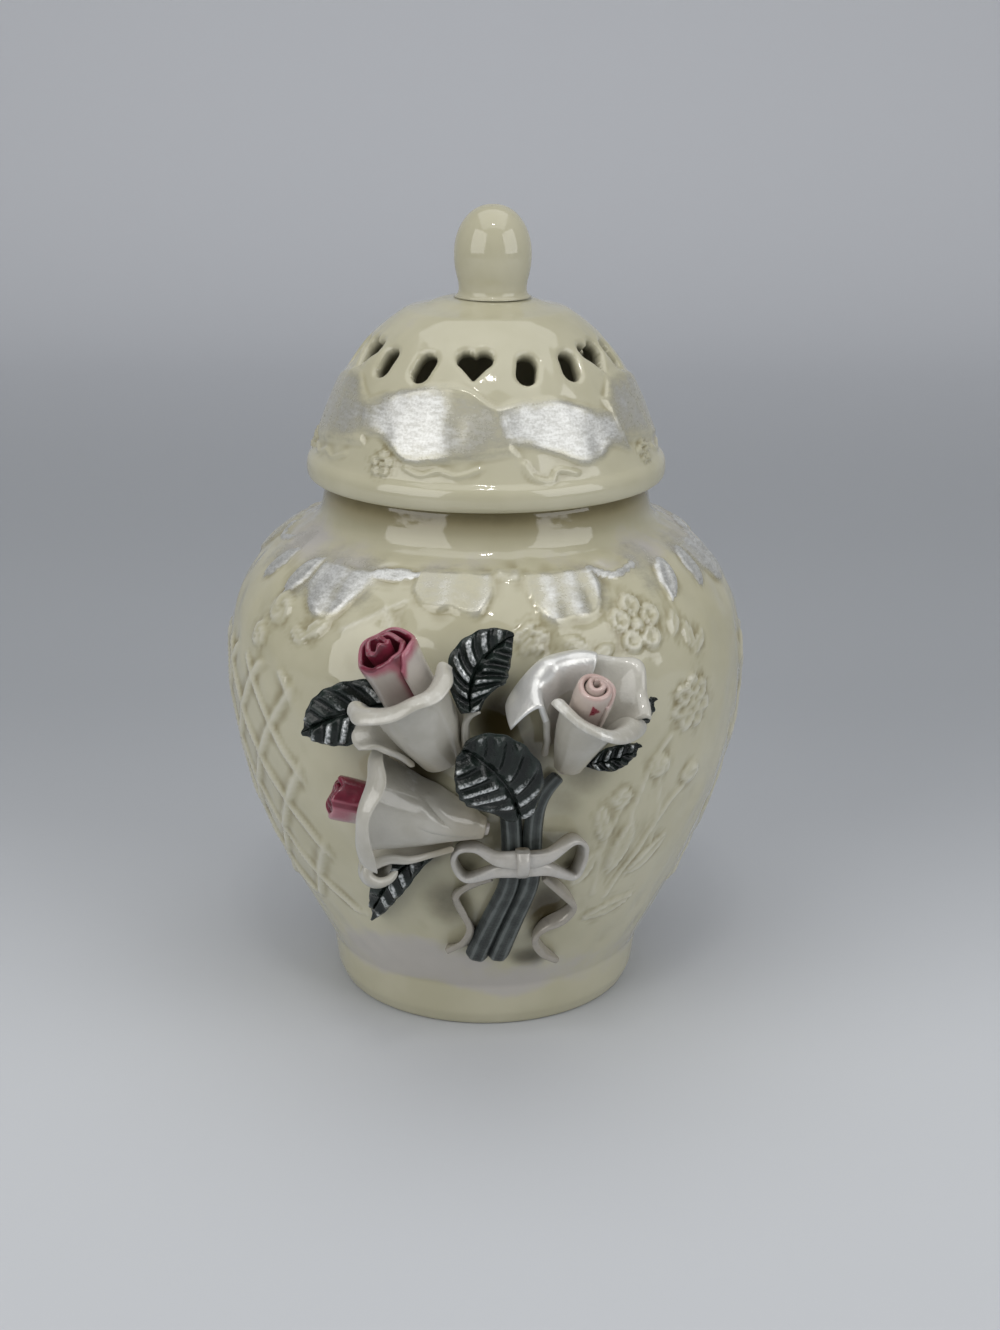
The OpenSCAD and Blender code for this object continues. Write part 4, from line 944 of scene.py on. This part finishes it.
def make_bud(name, rose, rows, finish, turns, start, core, tops, flare, paint):
    """A strip of clay rolled up: its turn grows evenly along the strip while its radius shrinks from the bud's outline
    to a core, its outer end tucked in, both narrowing to the foot; the top edge follows heights given by strip share
    and turn. The paint is given by the same, by the place and by whether a face looks out."""
    mu, mv = 0.004, 0.022
    u, v = spaced(BUD_GRID[0], mu)[:, None], spaced(BUD_GRID[1], mv)[None, :]
    turn = start + 360 * turns * u
    top = tops(u, turn)
    foot = mix(0.2, 0.5 * rows[-1, 0], ease(0.9 / turns, 1.4 / turns, u))
    s = mix(foot, top, v)
    full = rows[-1, 1]
    scale = np.interp(s, rows[:, 0], rows[:, 1]) / full
    pitch = (full - core) / turns
    near_top = ease(0.78, 1.0, v)
    tuck = 0.62 * pitch * ease(0.3 / turns, 0.0, u)
    r = scale * (full - pitch * turns * u - tuck) + flare * near_top * (1 - 0.6 * u) * ease(0.0, 0.3 / turns, u)
    thick = np.minimum(1.15, 0.93 * pitch * scale) * rounded(u, mu) * rounded(v, mv)
    middle = press(rose_at(rose, s, turn + 0 * s, np.maximum(r, 0.25)), 0.5)
    points, faces = clay_sheet(middle, thick)
    out = np.einsum("ijk,ijk->ij", normals(middle), middle - (rose[0] + rose[1] * s[..., None])).ravel() > 0
    outside = np.r_[out, ~out]
    crimson = np.where(outside, both(paint(u, s, top, turn, 1)), both(paint(u, s, top, turn, 0)))
    # Painted shade deeper down inside the roll, on both faces.
    deep = np.clip((top - s) / 7.0, 0, 1) * ease(0.6 / turns, 1.05 / turns, u)
    recess = np.where(outside, both(deep) * 0.7, both(np.clip((top - s) / 5, 0, 1)) * 0.8)
    return piece(name + "_rolled", points, faces, finish, "vase", name,
                 {"crimson": crimson, "recess": recess})


def around(turn, middle, reach):
    """A pointed share: one at a turn, falling evenly to nil at a reach on either side."""
    return np.clip(1 - np.abs(wrapped(turn - middle)) / reach, 0, 1)


def make_petal(name, rose, mid, rows, along, across, ruffle, lustre=None, corner=0.5, more=None):
    """A petal about a rose: rows of place along the axis, radius, half angle and thickness are joined by a smooth curve
    from foot to lip; across its width the place and the radius change by even and odd shares that grow with the
    square of the way to the lip, the lip's corners fall off with the sixth power, and a sine ruffles it. What it has
    of its own is added to the place and the radius."""
    rows = np.asarray(rows, float)
    knots, border = np.linspace(0, len(rows) - 1, 200), 0.6
    run = lengths(through(rows, knots)[:, :2])
    mu, mv = border / run[-1], border / (2 * np.radians(rows[-1, 2]) * rows[-1, 1])
    u, v = spaced(PETAL_GRID[0], mu), spaced(PETAL_GRID[1], mv)
    q = through(rows, np.interp(u * run[-1], run, knots))[:, None, :]
    w = (2 * v - 1)[None, :]
    g = np.square(u)[:, None]
    s = q[..., 0] + g * (along[0] * w * w + along[1] * w) - corner * g * g * w ** 6
    r = q[..., 1] + g * (across[0] * w * w + across[1] * w)
    turn = mid + q[..., 2] * w
    if more is not None:
        ds, dr = more(u[:, None], w)
        s, r = s + ds, r + dr
    wave, times, phase = ruffle
    lip = ease(0.35, 1.0, u)[:, None]
    r = r + wave * lip * np.sin(times * w + phase)
    s = s + 0.6 * wave * lip * np.sin(1.7 * times * w + phase + 1)
    thick = q[..., 3] * rounded(u, mu)[:, None] * rounded(v, mv)[None, :]
    middle = press(rose_at(rose, s, turn, r), SLIP + 0.5 * q[..., 3])
    points, faces = clay_sheet(middle, thick)
    # Painted shade towards the petal's foot, where it meets the bud and the jar.
    deep = 0.75 * ease(0.4, 0.0, u)[:, None] + 0 * w
    # Silver lustre where the petal shows bright highlights: partly paint, partly a painted highlight.
    shine = np.zeros(deep.shape) if lustre is None else lustre(u[:, None], w) + 0 * deep
    return piece(name + "_rolled", points, faces, white_petal, "vase", name,
                 {"recess": both(deep), "lustre": both(shine)})


def hug(bud, layer, *rows):
    """A petal's rows where it lies on its bud: place, what is added to the wrap's radius, half angle and, if it isn't
    the usual one, thickness."""
    return [[s, wrap(bud, s, layer) + add, half, (*thick, PETAL_T)[0]] for s, add, half, *thick in rows]


def make_roses():
    """Three roses: a rolled bud in petals that wrap it, each at its own layer."""
    def tops_1(u, turn):
        """Rises inwards, with two slow waves, five small ones, a dip at the front and a sloped outer end."""
        return (29.4 + 2.0 * ease(0.3, 0.85, u) + 0.6 * np.sin(np.radians(2 * turn + 40)) - 2.4 * around(turn, 22, 30)
                * ease(0.45, 0.3, u) - 2.2 * ease(0.03, 0.0, u) + 0.35 * np.sin(np.radians(5 * turn)))

    def paint_1(u, s, top, turn, out):
        """Blush under the outer edge, crimson a way down on all that is rolled inside."""
        outer = 0.5 * ease(3.4, 0.4, top - s) + 0.5 * ease(0.9, 0.2, top - s) * around(turn, -20, 70)
        hidden = np.maximum(ease(0.37, 0.42, u), 1 - out)
        inner = ease(16, 8, top - s) * (1 - 0.3 * ease(0.35, 0.1, top - s))
        return np.clip(mix(outer, inner, hidden), 0, 1)

    def tops_2(u, turn):
        """Rises evenly inwards, with two waves and a sloped outer end."""
        return 22.8 + 2.2 * u + 0.2 * np.sin(np.radians(2 * turn)) - 2.0 * ease(0.06, 0.0, u)

    def paint_2(u, s, top, turn, out):
        """A pointed drop of crimson at the front, blush under the edge."""
        a = wrapped(turn)
        drop = ease(-26, -20, a) * ease(1.0, 0.7, (a + 22) / 40 + np.abs(s - 20.4) / 1.7)
        return np.clip(drop * out * ease(0.5, 0.4, u) + 0.35 * ease(1.4, 0.1, top - s), 0, 1)

    def tops_3(u, turn):
        """Falls a little inwards, with two waves, five small ones, a dip at one side and a sloped outer end."""
        return (31.4 - 0.4 * u + 0.4 * np.sin(np.radians(2 * turn)) - 1.2 * around(turn, 60, 50) * ease(0.45, 0.3, u)
                - 2.5 * ease(0.03, 0.0, u) + 0.25 * np.sin(np.radians(5 * turn)))

    def paint_3(u, s, top, turn, out):
        """Crimson over the upper side and in a drop at the front, blush below, crimson on what is rolled inside."""
        a = wrapped(turn)
        upper = ease(-6, 26, a) * ease(205, 170, a)
        drop = around(turn, 2, 20) * ease(7.5, 5.5, top - s)
        outer = np.maximum(np.maximum(ease(9, 4, top - s) * upper, drop), 0.42 * ease(9, 2, top - s))
        hidden = np.maximum(ease(0.33, 0.38, u), 1 - out)
        return np.clip(mix(outer, ease(16, 8, top - s), hidden), 0, 1)

    make_bud("rose_1_bud", rose_1, bud_1, crimson_bud, 2.5, 34, 0.6, tops_1, 0.45, paint_1)
    make_bud("rose_2_bud", rose_2, bud_2, pale_bud, 2.6, 30, 0.3, tops_2, 0.3, paint_2)
    make_bud("rose_3_bud", rose_3, bud_3, crimson_bud, 2.8, 150, 0.6, tops_3, 0.2, paint_3)

    t = PETAL_T
    pinch = lambda u, w: ease(0.7, 1, u) * (0.5 * hump(w - 0.12, 0.2) + 0.4 * hump(w + 0.4, 0.4))
    # The lustre shares given to the petals set silver where they show bright highlights: partly paint, partly a painted
    # highlight.
    make_petal("rose_1_front_petal", rose_1, 16, [
        *hug(bud_1, 0, (2, 0, 66), (6, 0, 74), (10, 0, 78), (14, 0, 78), (17.6, 0.2, 77)), [20.0, 7.9, 76, 1.35],
        [21.9, 8.9, 75, 1.15], [23.0, 10.3, 73, 0.95], [23.4, 11.8, 71, 0.75], [23.0, 13.1, 69, 0.6],
        [22.2, 14.0, 67, 0.45]], [0.6, -0.4], [-0.4, -0.3], (0.28, 5.5, 0.4),
        lambda u, w: 0.4 * ease(0.6, 0.75, u), 0.1,
        lambda u, w: (1.6 * pinch(u, w), -0.7 * pinch(u, w) - 2.2 * ease(0.6, 1.0, np.abs(w)) * ease(0.7, 1, u)))
    make_petal("rose_1_left_petal", rose_1, -84, [
        *hug(bud_1, 1, (5, 0.1, 40), (8.5, 0.3, 40), (11.4, 1.4, 38)), [13.2, 10.4, 33, 1.1], [14.0, 12.2, 28, 0.9],
        [14.2, 13.4, 22, 0.7]], [-0.4, 0], [0, 0], (0.25, 4, 0))
    make_petal("rose_1_right_petal", rose_1, 106, [
        *hug(bud_1, 1, (4, 0.1, 38), (7, 0.3, 36), (9.2, 0.6, 30)), [10.6, 9.4, 24, 1.2], [11.2, 11.2, 18, 1.0]],
        [-1, 0], [0, 0], (0.15, 4, 1))
    make_petal("rose_2_front_petal", rose_2, 0,
               hug(bud_2, 0, (2, -0.6, 66), (7, -0.3, 86), (12, 0, 95), (15.5, 0.1, 95), (18, 0.7, 92),
                   (18.9, 1.7, 90, 1.1), (18.9, 2.6, 88, 0.9), (18.2, 3.2, 86, 0.7)),
               [-1.6, -3.0], [2.2, 2.4], (0.22, 5, 0.8), lambda u, w: 0.45 * ease(0.7, 0.9, u), 0.1)
    side_fold = lambda w: ease(0.05, 0.6, w)
    make_petal("rose_2_left_petal", rose_2, -141, [
        *hug(bud_2, 1, (3, 0, 44), (7, 0, 48), (11, 0.6, 52)), [14.5, 6.7, 54, t], [17.4, 7.3, 55, t],
        [19.8, 8.0, 55, 1.3], [21.2, 8.8, 55, 1.1], [21.7, 9.9, 55, 0.9], [21.4, 11.1, 55, 0.75],
        [20.6, 12.1, 55, 0.6], [19.6, 12.7, 55, 0.5]], [-0.6, -0.8], [-1.0, 0.3], (0.2, 5, 0.3),
        lambda u, w: ease(0.45, 0.62, u) * (1.0 + 0.4 * w), -0.6,
        lambda u, w: (side_fold(w) * (-0.8 * ease(0.2, 0.6, u) - 5.6 * ease(0.68, 1.0, u)),
                      side_fold(w) * 2.4 * ease(0.3, 0.8, u)))
    tip = lambda u, w: ease(0.55, 1, u) * hump(w - 0.05, 0.32)
    make_petal("rose_2_right_petal", rose_2, 126, [
        *hug(bud_2, 1, (3, 0, 30), (7, 0, 34), (10.5, 0.6, 38)), [13.5, 7.6, 41, t], [16.4, 9.2, 43, t],
        [18.6, 10.8, 44, 1.3], [19.4, 12.0, 44, 1.1], [19.3, 12.9, 44, 0.9]], [-1.4, 1.6], [-0.6, 0], (0.2, 5, 1.2),
        lambda u, w: 0.4 * ease(0.75, 1.0, u), -0.2, lambda u, w: (1.3 * tip(u, w), 1.9 * tip(u, w)))
    lap = lambda u, w: ease(-0.05, 0.05, w + 0.55 - 0.9 * (u - 0.15)) * ease(0.04, 0.12, u) * ease(0.5, 0.34, u)
    crease = lambda u, w: hump(u - 0.33 - 0.3 * w, 0.035) * hump(w - 0.02, 0.24)
    make_petal("rose_3_collar_petal", rose_3, 26, [
        [1, 2.0, 60, 0.9], [5, 3.0, 70, 1.2], [9, 4.2, 76, t], [13, 5.6, 78, t], [18, 7.0, 78, t], [22.4, 8.1, 76, t],
        [24.8, 9.1, 75, 1.1], [26.0, 10.4, 73, 0.9], [26.2, 11.8, 71, 0.7], [25.3, 13.0, 69, 0.55],
        [23.7, 13.8, 67, 0.4]], [-2.4, 0.6], [0.6, 0.8], (0.34, 5.5, 0.9),
        lambda u, w: 0.5 * hump(u - 0.55, 0.12) * ease(0.1, 0.4, w), 0.4,
        lambda u, w: (-0.9 * ease(0.8, 1, u) * np.sin(6.5 * w + 0.4), 0.5 * lap(u, w) - 1.0 * crease(u, w)))
    make_petal("rose_3_lower_petal", rose_3, -92, [
        *hug(bud_3, 1, (6, 0.8, 26), (10.5, 2.4, 32), (14.4, 3.6, 36, 1.6)), [17.8, 10.2, 37, 1.9],
        [20.4, 11.8, 36, 2.1], [21.8, 13.4, 34, 2.2], [21.4, 15.1, 32, 2.1], [19.6, 15.9, 30, 1.9],
        [17.8, 15.3, 28, 1.7], [17.0, 13.9, 26, 1.5]], [-1, 0], [-1, -1], (0.25, 4, 0),
        lambda u, w: 0.4 * ease(0.5, 0.8, u))


# Leaves
pointed = np.array([[0, 0.3], [0.2, 0.6], [0.5, 1], [0.75, 0.84], [0.9, 0.5], [1, 0.06]])
broad = np.array([[0, 0.5], [0.2, 0.85], [0.4, 1], [0.65, 0.92], [0.85, 0.6], [1, 0.08]])
blunt = np.array([[0, 0.34], [0.2, 0.66], [0.42, 0.98], [0.66, 1.02], [0.84, 0.84], [0.95, 0.52], [1, 0.16]])


def make_leaf(name, a, b, c, w, shape, fold, veins, backing=None):
    """A leaf along the square curve of three places: its half width is read off a shape, its edges fold up in
    proportion to it, and side veins, a cosine of the way along less a power of the way out, furrow its upper face."""
    mu, mv = 0.012, 0.05
    u, v = spaced(LEAF_GRID[0], mu), spaced(LEAF_GRID[1], mv)
    p, q, r = on(a), on(b), on(c)
    at = lambda t: (1 - t) ** 2 * p + 2 * t * (1 - t) * q + t * t * r
    rib = at(u[:, None])
    go = unit(at(u[:, None] + 0.02) - at(u[:, None] - 0.02))
    side = unit(np.cross(go, outward(rib)))
    face = np.cross(side, go)
    knots = np.linspace(0, 1, 60)
    table = through(shape, np.interp(knots, shape[:, 0], np.arange(len(shape))))
    half = w * np.maximum(np.interp(u, table[:, 0], table[:, 1]), 0.02)[:, None]
    x = (2 * v - 1)[None, :]
    long = np.linalg.norm(np.diff(rib, axis=0), axis=1).sum()
    phase = veins * u[:, None] - 0.62 * veins * np.abs(x) ** 1.3 * half / long
    ridge = 0.5 + 0.5 * np.cos(2 * np.pi * phase)
    out = ease(0.04, 0.22, np.abs(x)) * ease(1.02, 0.8, np.abs(x))
    wavy = 1 + 0.02 * np.cos(2 * np.pi * (phase + 0.3)) * ease(0.6, 1, np.abs(x))
    rise = fold * half * np.abs(x) + 0.12 * half * np.sin(2.4 * x + 3 * u[:, None]) * u[:, None]
    middle = rib[:, None, :] + side[:, None, :] * (half * x * wavy)[..., None] + face[:, None, :] * rise[..., None]
    middle = press(middle, SLIP + 0.5 * LEAF_T)
    thick = LEAF_T * (1 - 0.35 * x * x) * rounded(u, mu)[:, None] * rounded(v, mv)[None, :]
    points, faces = clay_sheet(middle, thick)
    n = len(u) * len(v)
    face = np.repeat(face, len(v), 0)
    top_first = (np.einsum("ij,ij->i", points[:n] - middle.reshape(-1, 3), face) > 0).mean() > 0.5
    carve = (0.95 * ridge * out - 0.45 * hump(x, 0.08) - 0.43) * rounded(u, mu)[:, None] * rounded(v, mv)[None, :]
    points[slice(0, n) if top_first else slice(n, 2 * n)] += face * carve.ravel()[:, None]
    rub = np.clip(ease(0.35, 1.0, ridge) * out * (0.78 + 0.5 * np.sin(5 * u[:, None] + 2.3 * x)), 0, 1)
    # Painted shade in the grooves between the veins and along the midrib.
    painted_groove_shade = np.clip((1 - ridge) * out * 0.6 + 0.6 * hump(x, 0.07), 0, 1)
    order = lambda upper: np.r_[upper.ravel(), np.zeros(n)] if top_first else np.r_[np.zeros(n), upper.ravel()]
    paints = {"rub": order(rub), "recess": order(painted_groove_shade)}
    if backing is not None:
        lump, lump_faces = clay_lump(*backing)
        faces = faces + [f + len(points) for f in lump_faces]
        points = np.vstack([points, lump])
        paints = {key: np.r_[value, np.zeros(len(lump))] for key, value in paints.items()}
    return piece(name + "_modelled", points, faces, dark_leaf, "vase", name, paints)


def clay_lump(place, wide, top):
    """A round lump of clay from the glaze to the back of a leaf, its radius waisted by a sine."""
    c, d = on([*place, 0.0]), on([*place, top])
    up = np.array([0, 0, 1])
    side = np.cross(up, outward(c))
    t = steps_round(LUMP_STEPS)
    h = np.linspace(0, 1, LUMP_ROWS)[:, None]
    r = wide * (1.15 - 0.3 * np.sin(np.pi * h))
    rings = section(mix(c, d, h), r * np.cos(t), side[None], r * np.sin(t), up[None])
    return tube(press(rings, SLIP), press(c, SLIP)[None], d[None])


def make_leaves():
    """Six leaves with rubbed veins."""
    make_leaf("leaf_1", [-16.4, 5.4, 0.8], [-23, 6, 9.7], [-33.2, -2, 6], 6.1, broad, 0.25, 6)
    make_leaf("leaf_2", [-2.0, 6.8, 8.6], [-3.4, 15.8, 10.2], [5.2, 20.6, 10], 5.8, pointed, 0.25, 6,
              ([-0.6, 14.5], 2, 9))
    make_leaf("leaf_3", [6.6, -16.3, STALK_TOP + SLIP + LEAF_T / 2], [4.4, -4.4, 12], [-3.2, 1.0, 12], 7.8, blunt,
              0.2, 6)
    make_leaf("leaf_4", [-9, -25.5, 0.8], [-18.5, -28, 7], [-29, -47, 1.6], 3.5, pointed, 0.25, 7)
    make_leaf("leaf_5", [24, -1, 0.8], [27, 0.6, 6.6], [31.6, 5.6, 5.6], 2.6, pointed, 0.2, 5)
    make_leaf("leaf_6", [19.5, -7, 0.8], [23.5, -7, 4.5], [29.6, -4, 4], 2.6, pointed, 0.2, 5)


# Stalks and ribbon
def make_stalk(name, path, side, thin):
    """A flattened rod along a smooth line on the glaze, leaning on its neighbour: broader away from it, ribbed by
    cosines of the turn, thinner at its upper end if wished and rounded off at both ends."""
    end = 0.03
    share = spaced(STALK_ROWS, end)
    p = through(path, share * (len(path) - 1))
    spread = 1.22 + 0.16 * ease(0.5, 0.0, share)
    r0 = STALK_R * (1 - thin * share ** 3)
    c = on(np.c_[p, np.full(len(p), STALK_OUT)], side * 1.14)
    go = unit(np.gradient(c, axis=0))
    across = unit(np.cross(go, outward(c)))
    up = np.cross(across, go)
    t = steps_round(STALK_STEPS)
    rib = np.cos(6 * t + 0.5 * np.sin(4 * share[:, None]) + 0.6)
    r = r0[:, None] * (1 + 0.05 * rib) * np.maximum(rounded(share, end), 0.04)[:, None]
    rings = press(section(c, r * spread[:, None] * np.cos(t), across, r * np.sin(t), up), SLIP)
    points, faces = tube(rings, c[:1], c[-1:])
    # Painted shade on the side toward the glaze and in the grooves between the ribs.
    low = ease(0.35, -0.4, np.sin(t))[None, :]
    deep = np.maximum(0.6 * ease(-0.2, -0.95, rib), low)
    return piece(name + "_ribbed", points, faces, grey_stalk, "vase", name,
                 {"rub": capped(ease(0.0, 0.9, rib)), "recess": capped(deep)})


def make_ribbon(name, path, rows, wide, swell, lean=0.0, shade=0.0):
    """A band standing on its edge: places of x, z, back and front are joined by a smooth curve; its section is a
    rounded oblong between back and front that leans over by a sine of the way along, and is thicker towards its ends
    where it is gathered."""
    end = 0.015
    share = spaced(rows, end)
    p = through(path, share * (len(path) - 1))
    back, front = on(p[:, :3]), on(p[:, [0, 1, 3]])
    middle = 0.5 * (back + front)
    go = unit(np.gradient(middle, axis=0))
    side = unit(np.cross(go, outward(middle)))
    deep = front - back + side * (lean * np.sin(9 * share + 0.5))[:, None]
    t = steps_round(RIBBON_STEPS)
    square = lambda x: np.sign(x) * np.abs(x) ** 0.6
    ends = rounded(share, end)[:, None]
    gather = swell * (ease(0.34, 0.0, share) + ease(0.66, 1.0, share))[:, None]
    pleat = 1 + 0.1 * gather * np.cos(3 * t)
    half = wide * (0.5 + 0.5 * gather) * pleat
    rings = press(section(middle, half * ends * square(np.cos(t)), side,
                          0.5 * np.maximum(ends, 0.4) * square(np.sin(t)), deep), SLIP)
    points, faces = tube(rings, middle[:1], middle[-1:])
    # Painted shade on the side toward the glaze, and over the whole band at the share given for shade.
    low = np.maximum(0.9 * ease(0.4, -0.7, np.sin(t))[None, :] + 0 * half, shade)
    return piece(name + "_glazed", points, faces, pearl_ribbon, "vase", name,
                 {"recess": capped(low, shade)})


def make_bow():
    """Two stalks tied by a ribbon bow with loose ends."""
    make_stalk("stalk_left", [[0.4, -55], [4.6, -43.4], [7.6, -34.7], [8, -28], [7.6, -20.8], [6.8, -13]],
               -(STALK_R + SLIP / 2), 0)
    make_stalk("stalk_right", [[0.8, -55.2], [4.9, -43.5], [7.7, -34.9], [8.1, -28.3], [8.0, -21], [8.6, -15.6],
                               [10.2, -12], [12.6, -9.2]], STALK_R + SLIP / 2, 0.3)
    x, z, over = 7.6, -27.3, STALK_TOP + 3 * SLIP
    high = over, over + 3
    fronts = high, high, (0.6, 5), (0.2, 4.8), (0.2, 4.8), (0.4, 5), high, high
    for name, side, places in (
            ("bow_left_loop", -1, ((0.4, 0.9), (5, 1.5), (9, 3.2), (12.4, 2.6), (13.4, -0.6), (11, -4.2), (5, -1.5),
                                   (0.4, -0.9))),
            ("bow_right_loop", 1, ((0.4, 0.9), (5, 1.5), (10.1, 3.8), (12.8, 2.2), (12.9, -2.2), (11.2, -5.0),
                                   (5, -1.6), (0.4, -0.9)))):
        path = [[x + side * dx, z + dz, *front] for (dx, dz), front in zip(places, fronts)]
        make_ribbon(name, path, 150, 1.35, 1.5)
    make_ribbon("bow_knot", [[x, z + dz, over + back, over + front] for dz, back, front in (
        (3, -0.6, 2.8), (1.6, 0, 4.1), (0, 0, 4.4), (-1.6, 0, 4.1), (-3, -0.6, 2.8))], 50, 2.6, 0.1)
    for name, rows, places in (
            ("ribbon_tail_left", 130, ((1.9, -32.4), (-2.9, -34.6), (-6.2, -37.4), (-5.0, -42.0), (-3.2, -46.4),
                                       (-5.0, -50.6), (-9.9, -52.9))),
            ("ribbon_tail_right", 150, ((13.1, -32.4), (18.6, -37.6), (21.6, -41.6), (19.6, -44.4), (15.4, -46.4),
                                        (13.6, -49.6), (16.2, -53.6), (21.6, -57.3)))):
        # The tails take painted shade at half strength all over.
        make_ribbon(name, [[*place, 0, TAIL_W] for place in places], rows, 1.5, 0, 1.4, 0.5)


# Floor, light and camera
def make_stage():
    """A pale sheet that runs level under the jar and curves up behind it: straight, a quarter circle, straight."""
    turn, bend = np.linspace(0, 0.5 * math.pi, 16), 0.45
    line = np.vstack([[[-1.4, 0]], np.stack([0.75 + bend * np.sin(turn), bend - bend * np.cos(turn)], 1), [[1.2, 2.2]]])
    wide = np.linspace(-2.2, 2.2, 5)
    points = np.stack(np.broadcast_arrays(wide, line[:, :1], line[:, 1:]), -1)
    mesh = bpy.data.meshes.new("sheet_of_paper")
    faces = quads(np.arange(len(line) * len(wide)).reshape(len(line), len(wide)))
    mesh.from_pydata(points.reshape(-1, 3).tolist(), [], faces.tolist())
    mesh.polygons.foreach_set("use_smooth", np.ones(len(mesh.polygons), bool))
    paper = bpy.data.objects.new("sheet_of_paper", mesh)
    bpy.context.scene.collection.objects.link(paper)
    f = Finish("pale_paper")
    cloud = f.speckle(f.place(), 3.0)
    tone = f.blend(f.step(cloud, 0.3, 0.7), (0.565, 0.582, 0.609), (0.585, 0.602, 0.629))
    # Painted shade and light on the sheet: darker where it bends up behind the jar, paler higher up the back.
    along = f.add("ShaderNodeSeparateXYZ", {}, {0: f.place()}, out=1)
    tone = f.blend(f.step(along, -0.06, 0.2), tone, (0.38, 0.395, 0.418))
    tone = f.blend(f.step(along, 0.35, 1.1), tone, (0.64, 0.655, 0.69))
    mesh.materials.append(f.close(Base_Color=tone, Roughness=0.8 + 0.1 * cloud, Specular_IOR_Level=0.2))


def make_light(name, place, aim, wide, high, watts, tone):
    """A soft lamp: an oblong that faces a point."""
    lamp = bpy.data.lights.new(name, "AREA")
    lamp.shape, lamp.size, lamp.size_y, lamp.energy, lamp.color = "RECTANGLE", wide, high, watts, tone
    holder = bpy.data.objects.new(name, lamp)
    bpy.context.scene.collection.objects.link(holder)
    back = unit(np.array(place, float) - np.array(aim, float))
    right = unit(np.cross([0, 0, 1], back))
    up = np.cross(back, right)
    turn = np.eye(4)
    turn[:3, 0], turn[:3, 1], turn[:3, 2], turn[:3, 3] = right, up, back, place
    holder.matrix_world = Matrix(turn.tolist())


def make_camera():
    """The photograph's camera: 413.6 mm in front of the axis and 207.6 mm up, pitched down 18.4 degrees."""
    lens = bpy.data.cameras.new("camera")
    focal_dots, photo_dots, film = 2000, 1330, 36
    lens.lens, lens.sensor_width, lens.sensor_fit = focal_dots / photo_dots * film, film, "AUTO"
    lens.clip_start, lens.clip_end = 0.01, 20
    camera = bpy.data.objects.new("camera", lens)
    place, pitch, roll = (0.003113, -0.413556, 0.207628), 0.3208, 0.0052
    camera.matrix_world = (Matrix.Translation(place) @ Matrix.Rotation(0.5 * math.pi - pitch, 4, "X")
                           @ Matrix.Rotation(roll, 4, "Z"))
    bpy.context.scene.collection.objects.link(camera)
    bpy.context.scene.camera = camera


# Name, place, aim, width, height, watts and tone of each lamp
LAMPS = (("left_window", (-0.8, -0.7, 0.56), (0, 0, 0.25), 0.92, 0.86, 5.7, (1.0, 0.99, 0.97)),
         ("right_window", (0.85, -0.58, 0.54), (0, 0, 0.25), 0.84, 0.8, 4.7, (1.0, 1.0, 1.0)),
         ("ceiling", (0.0, -0.1, 1.3), (0, 0, 0.1), 1.6, 1.5, 9.2, (0.98, 0.99, 1.0)),
         ("lamp_left", (-0.045, -0.56, 1.16), (0, 0, 0.1), 0.05, 0.05, 0.42, (1.0, 0.98, 0.94)),
         ("lamp_right", (0.045, -0.56, 1.16), (0, 0, 0.1), 0.05, 0.05, 0.42, (1.0, 0.98, 0.94)))

make_camera()
make_vase_body()
make_lid()
make_knob()
make_roses()
make_leaves()
make_bow()
make_stage()
for lamp in LAMPS:
    make_light(*lamp)
world = bpy.data.worlds.new("soft_room")
world.use_nodes = True
sky = world.node_tree.nodes["Background"].inputs
sky["Color"].default_value, sky["Strength"].default_value = (0.95, 0.97, 1.0, 1), 0.15
bpy.context.scene.world = world
bpy.context.scene.view_settings.view_transform = "Standard"
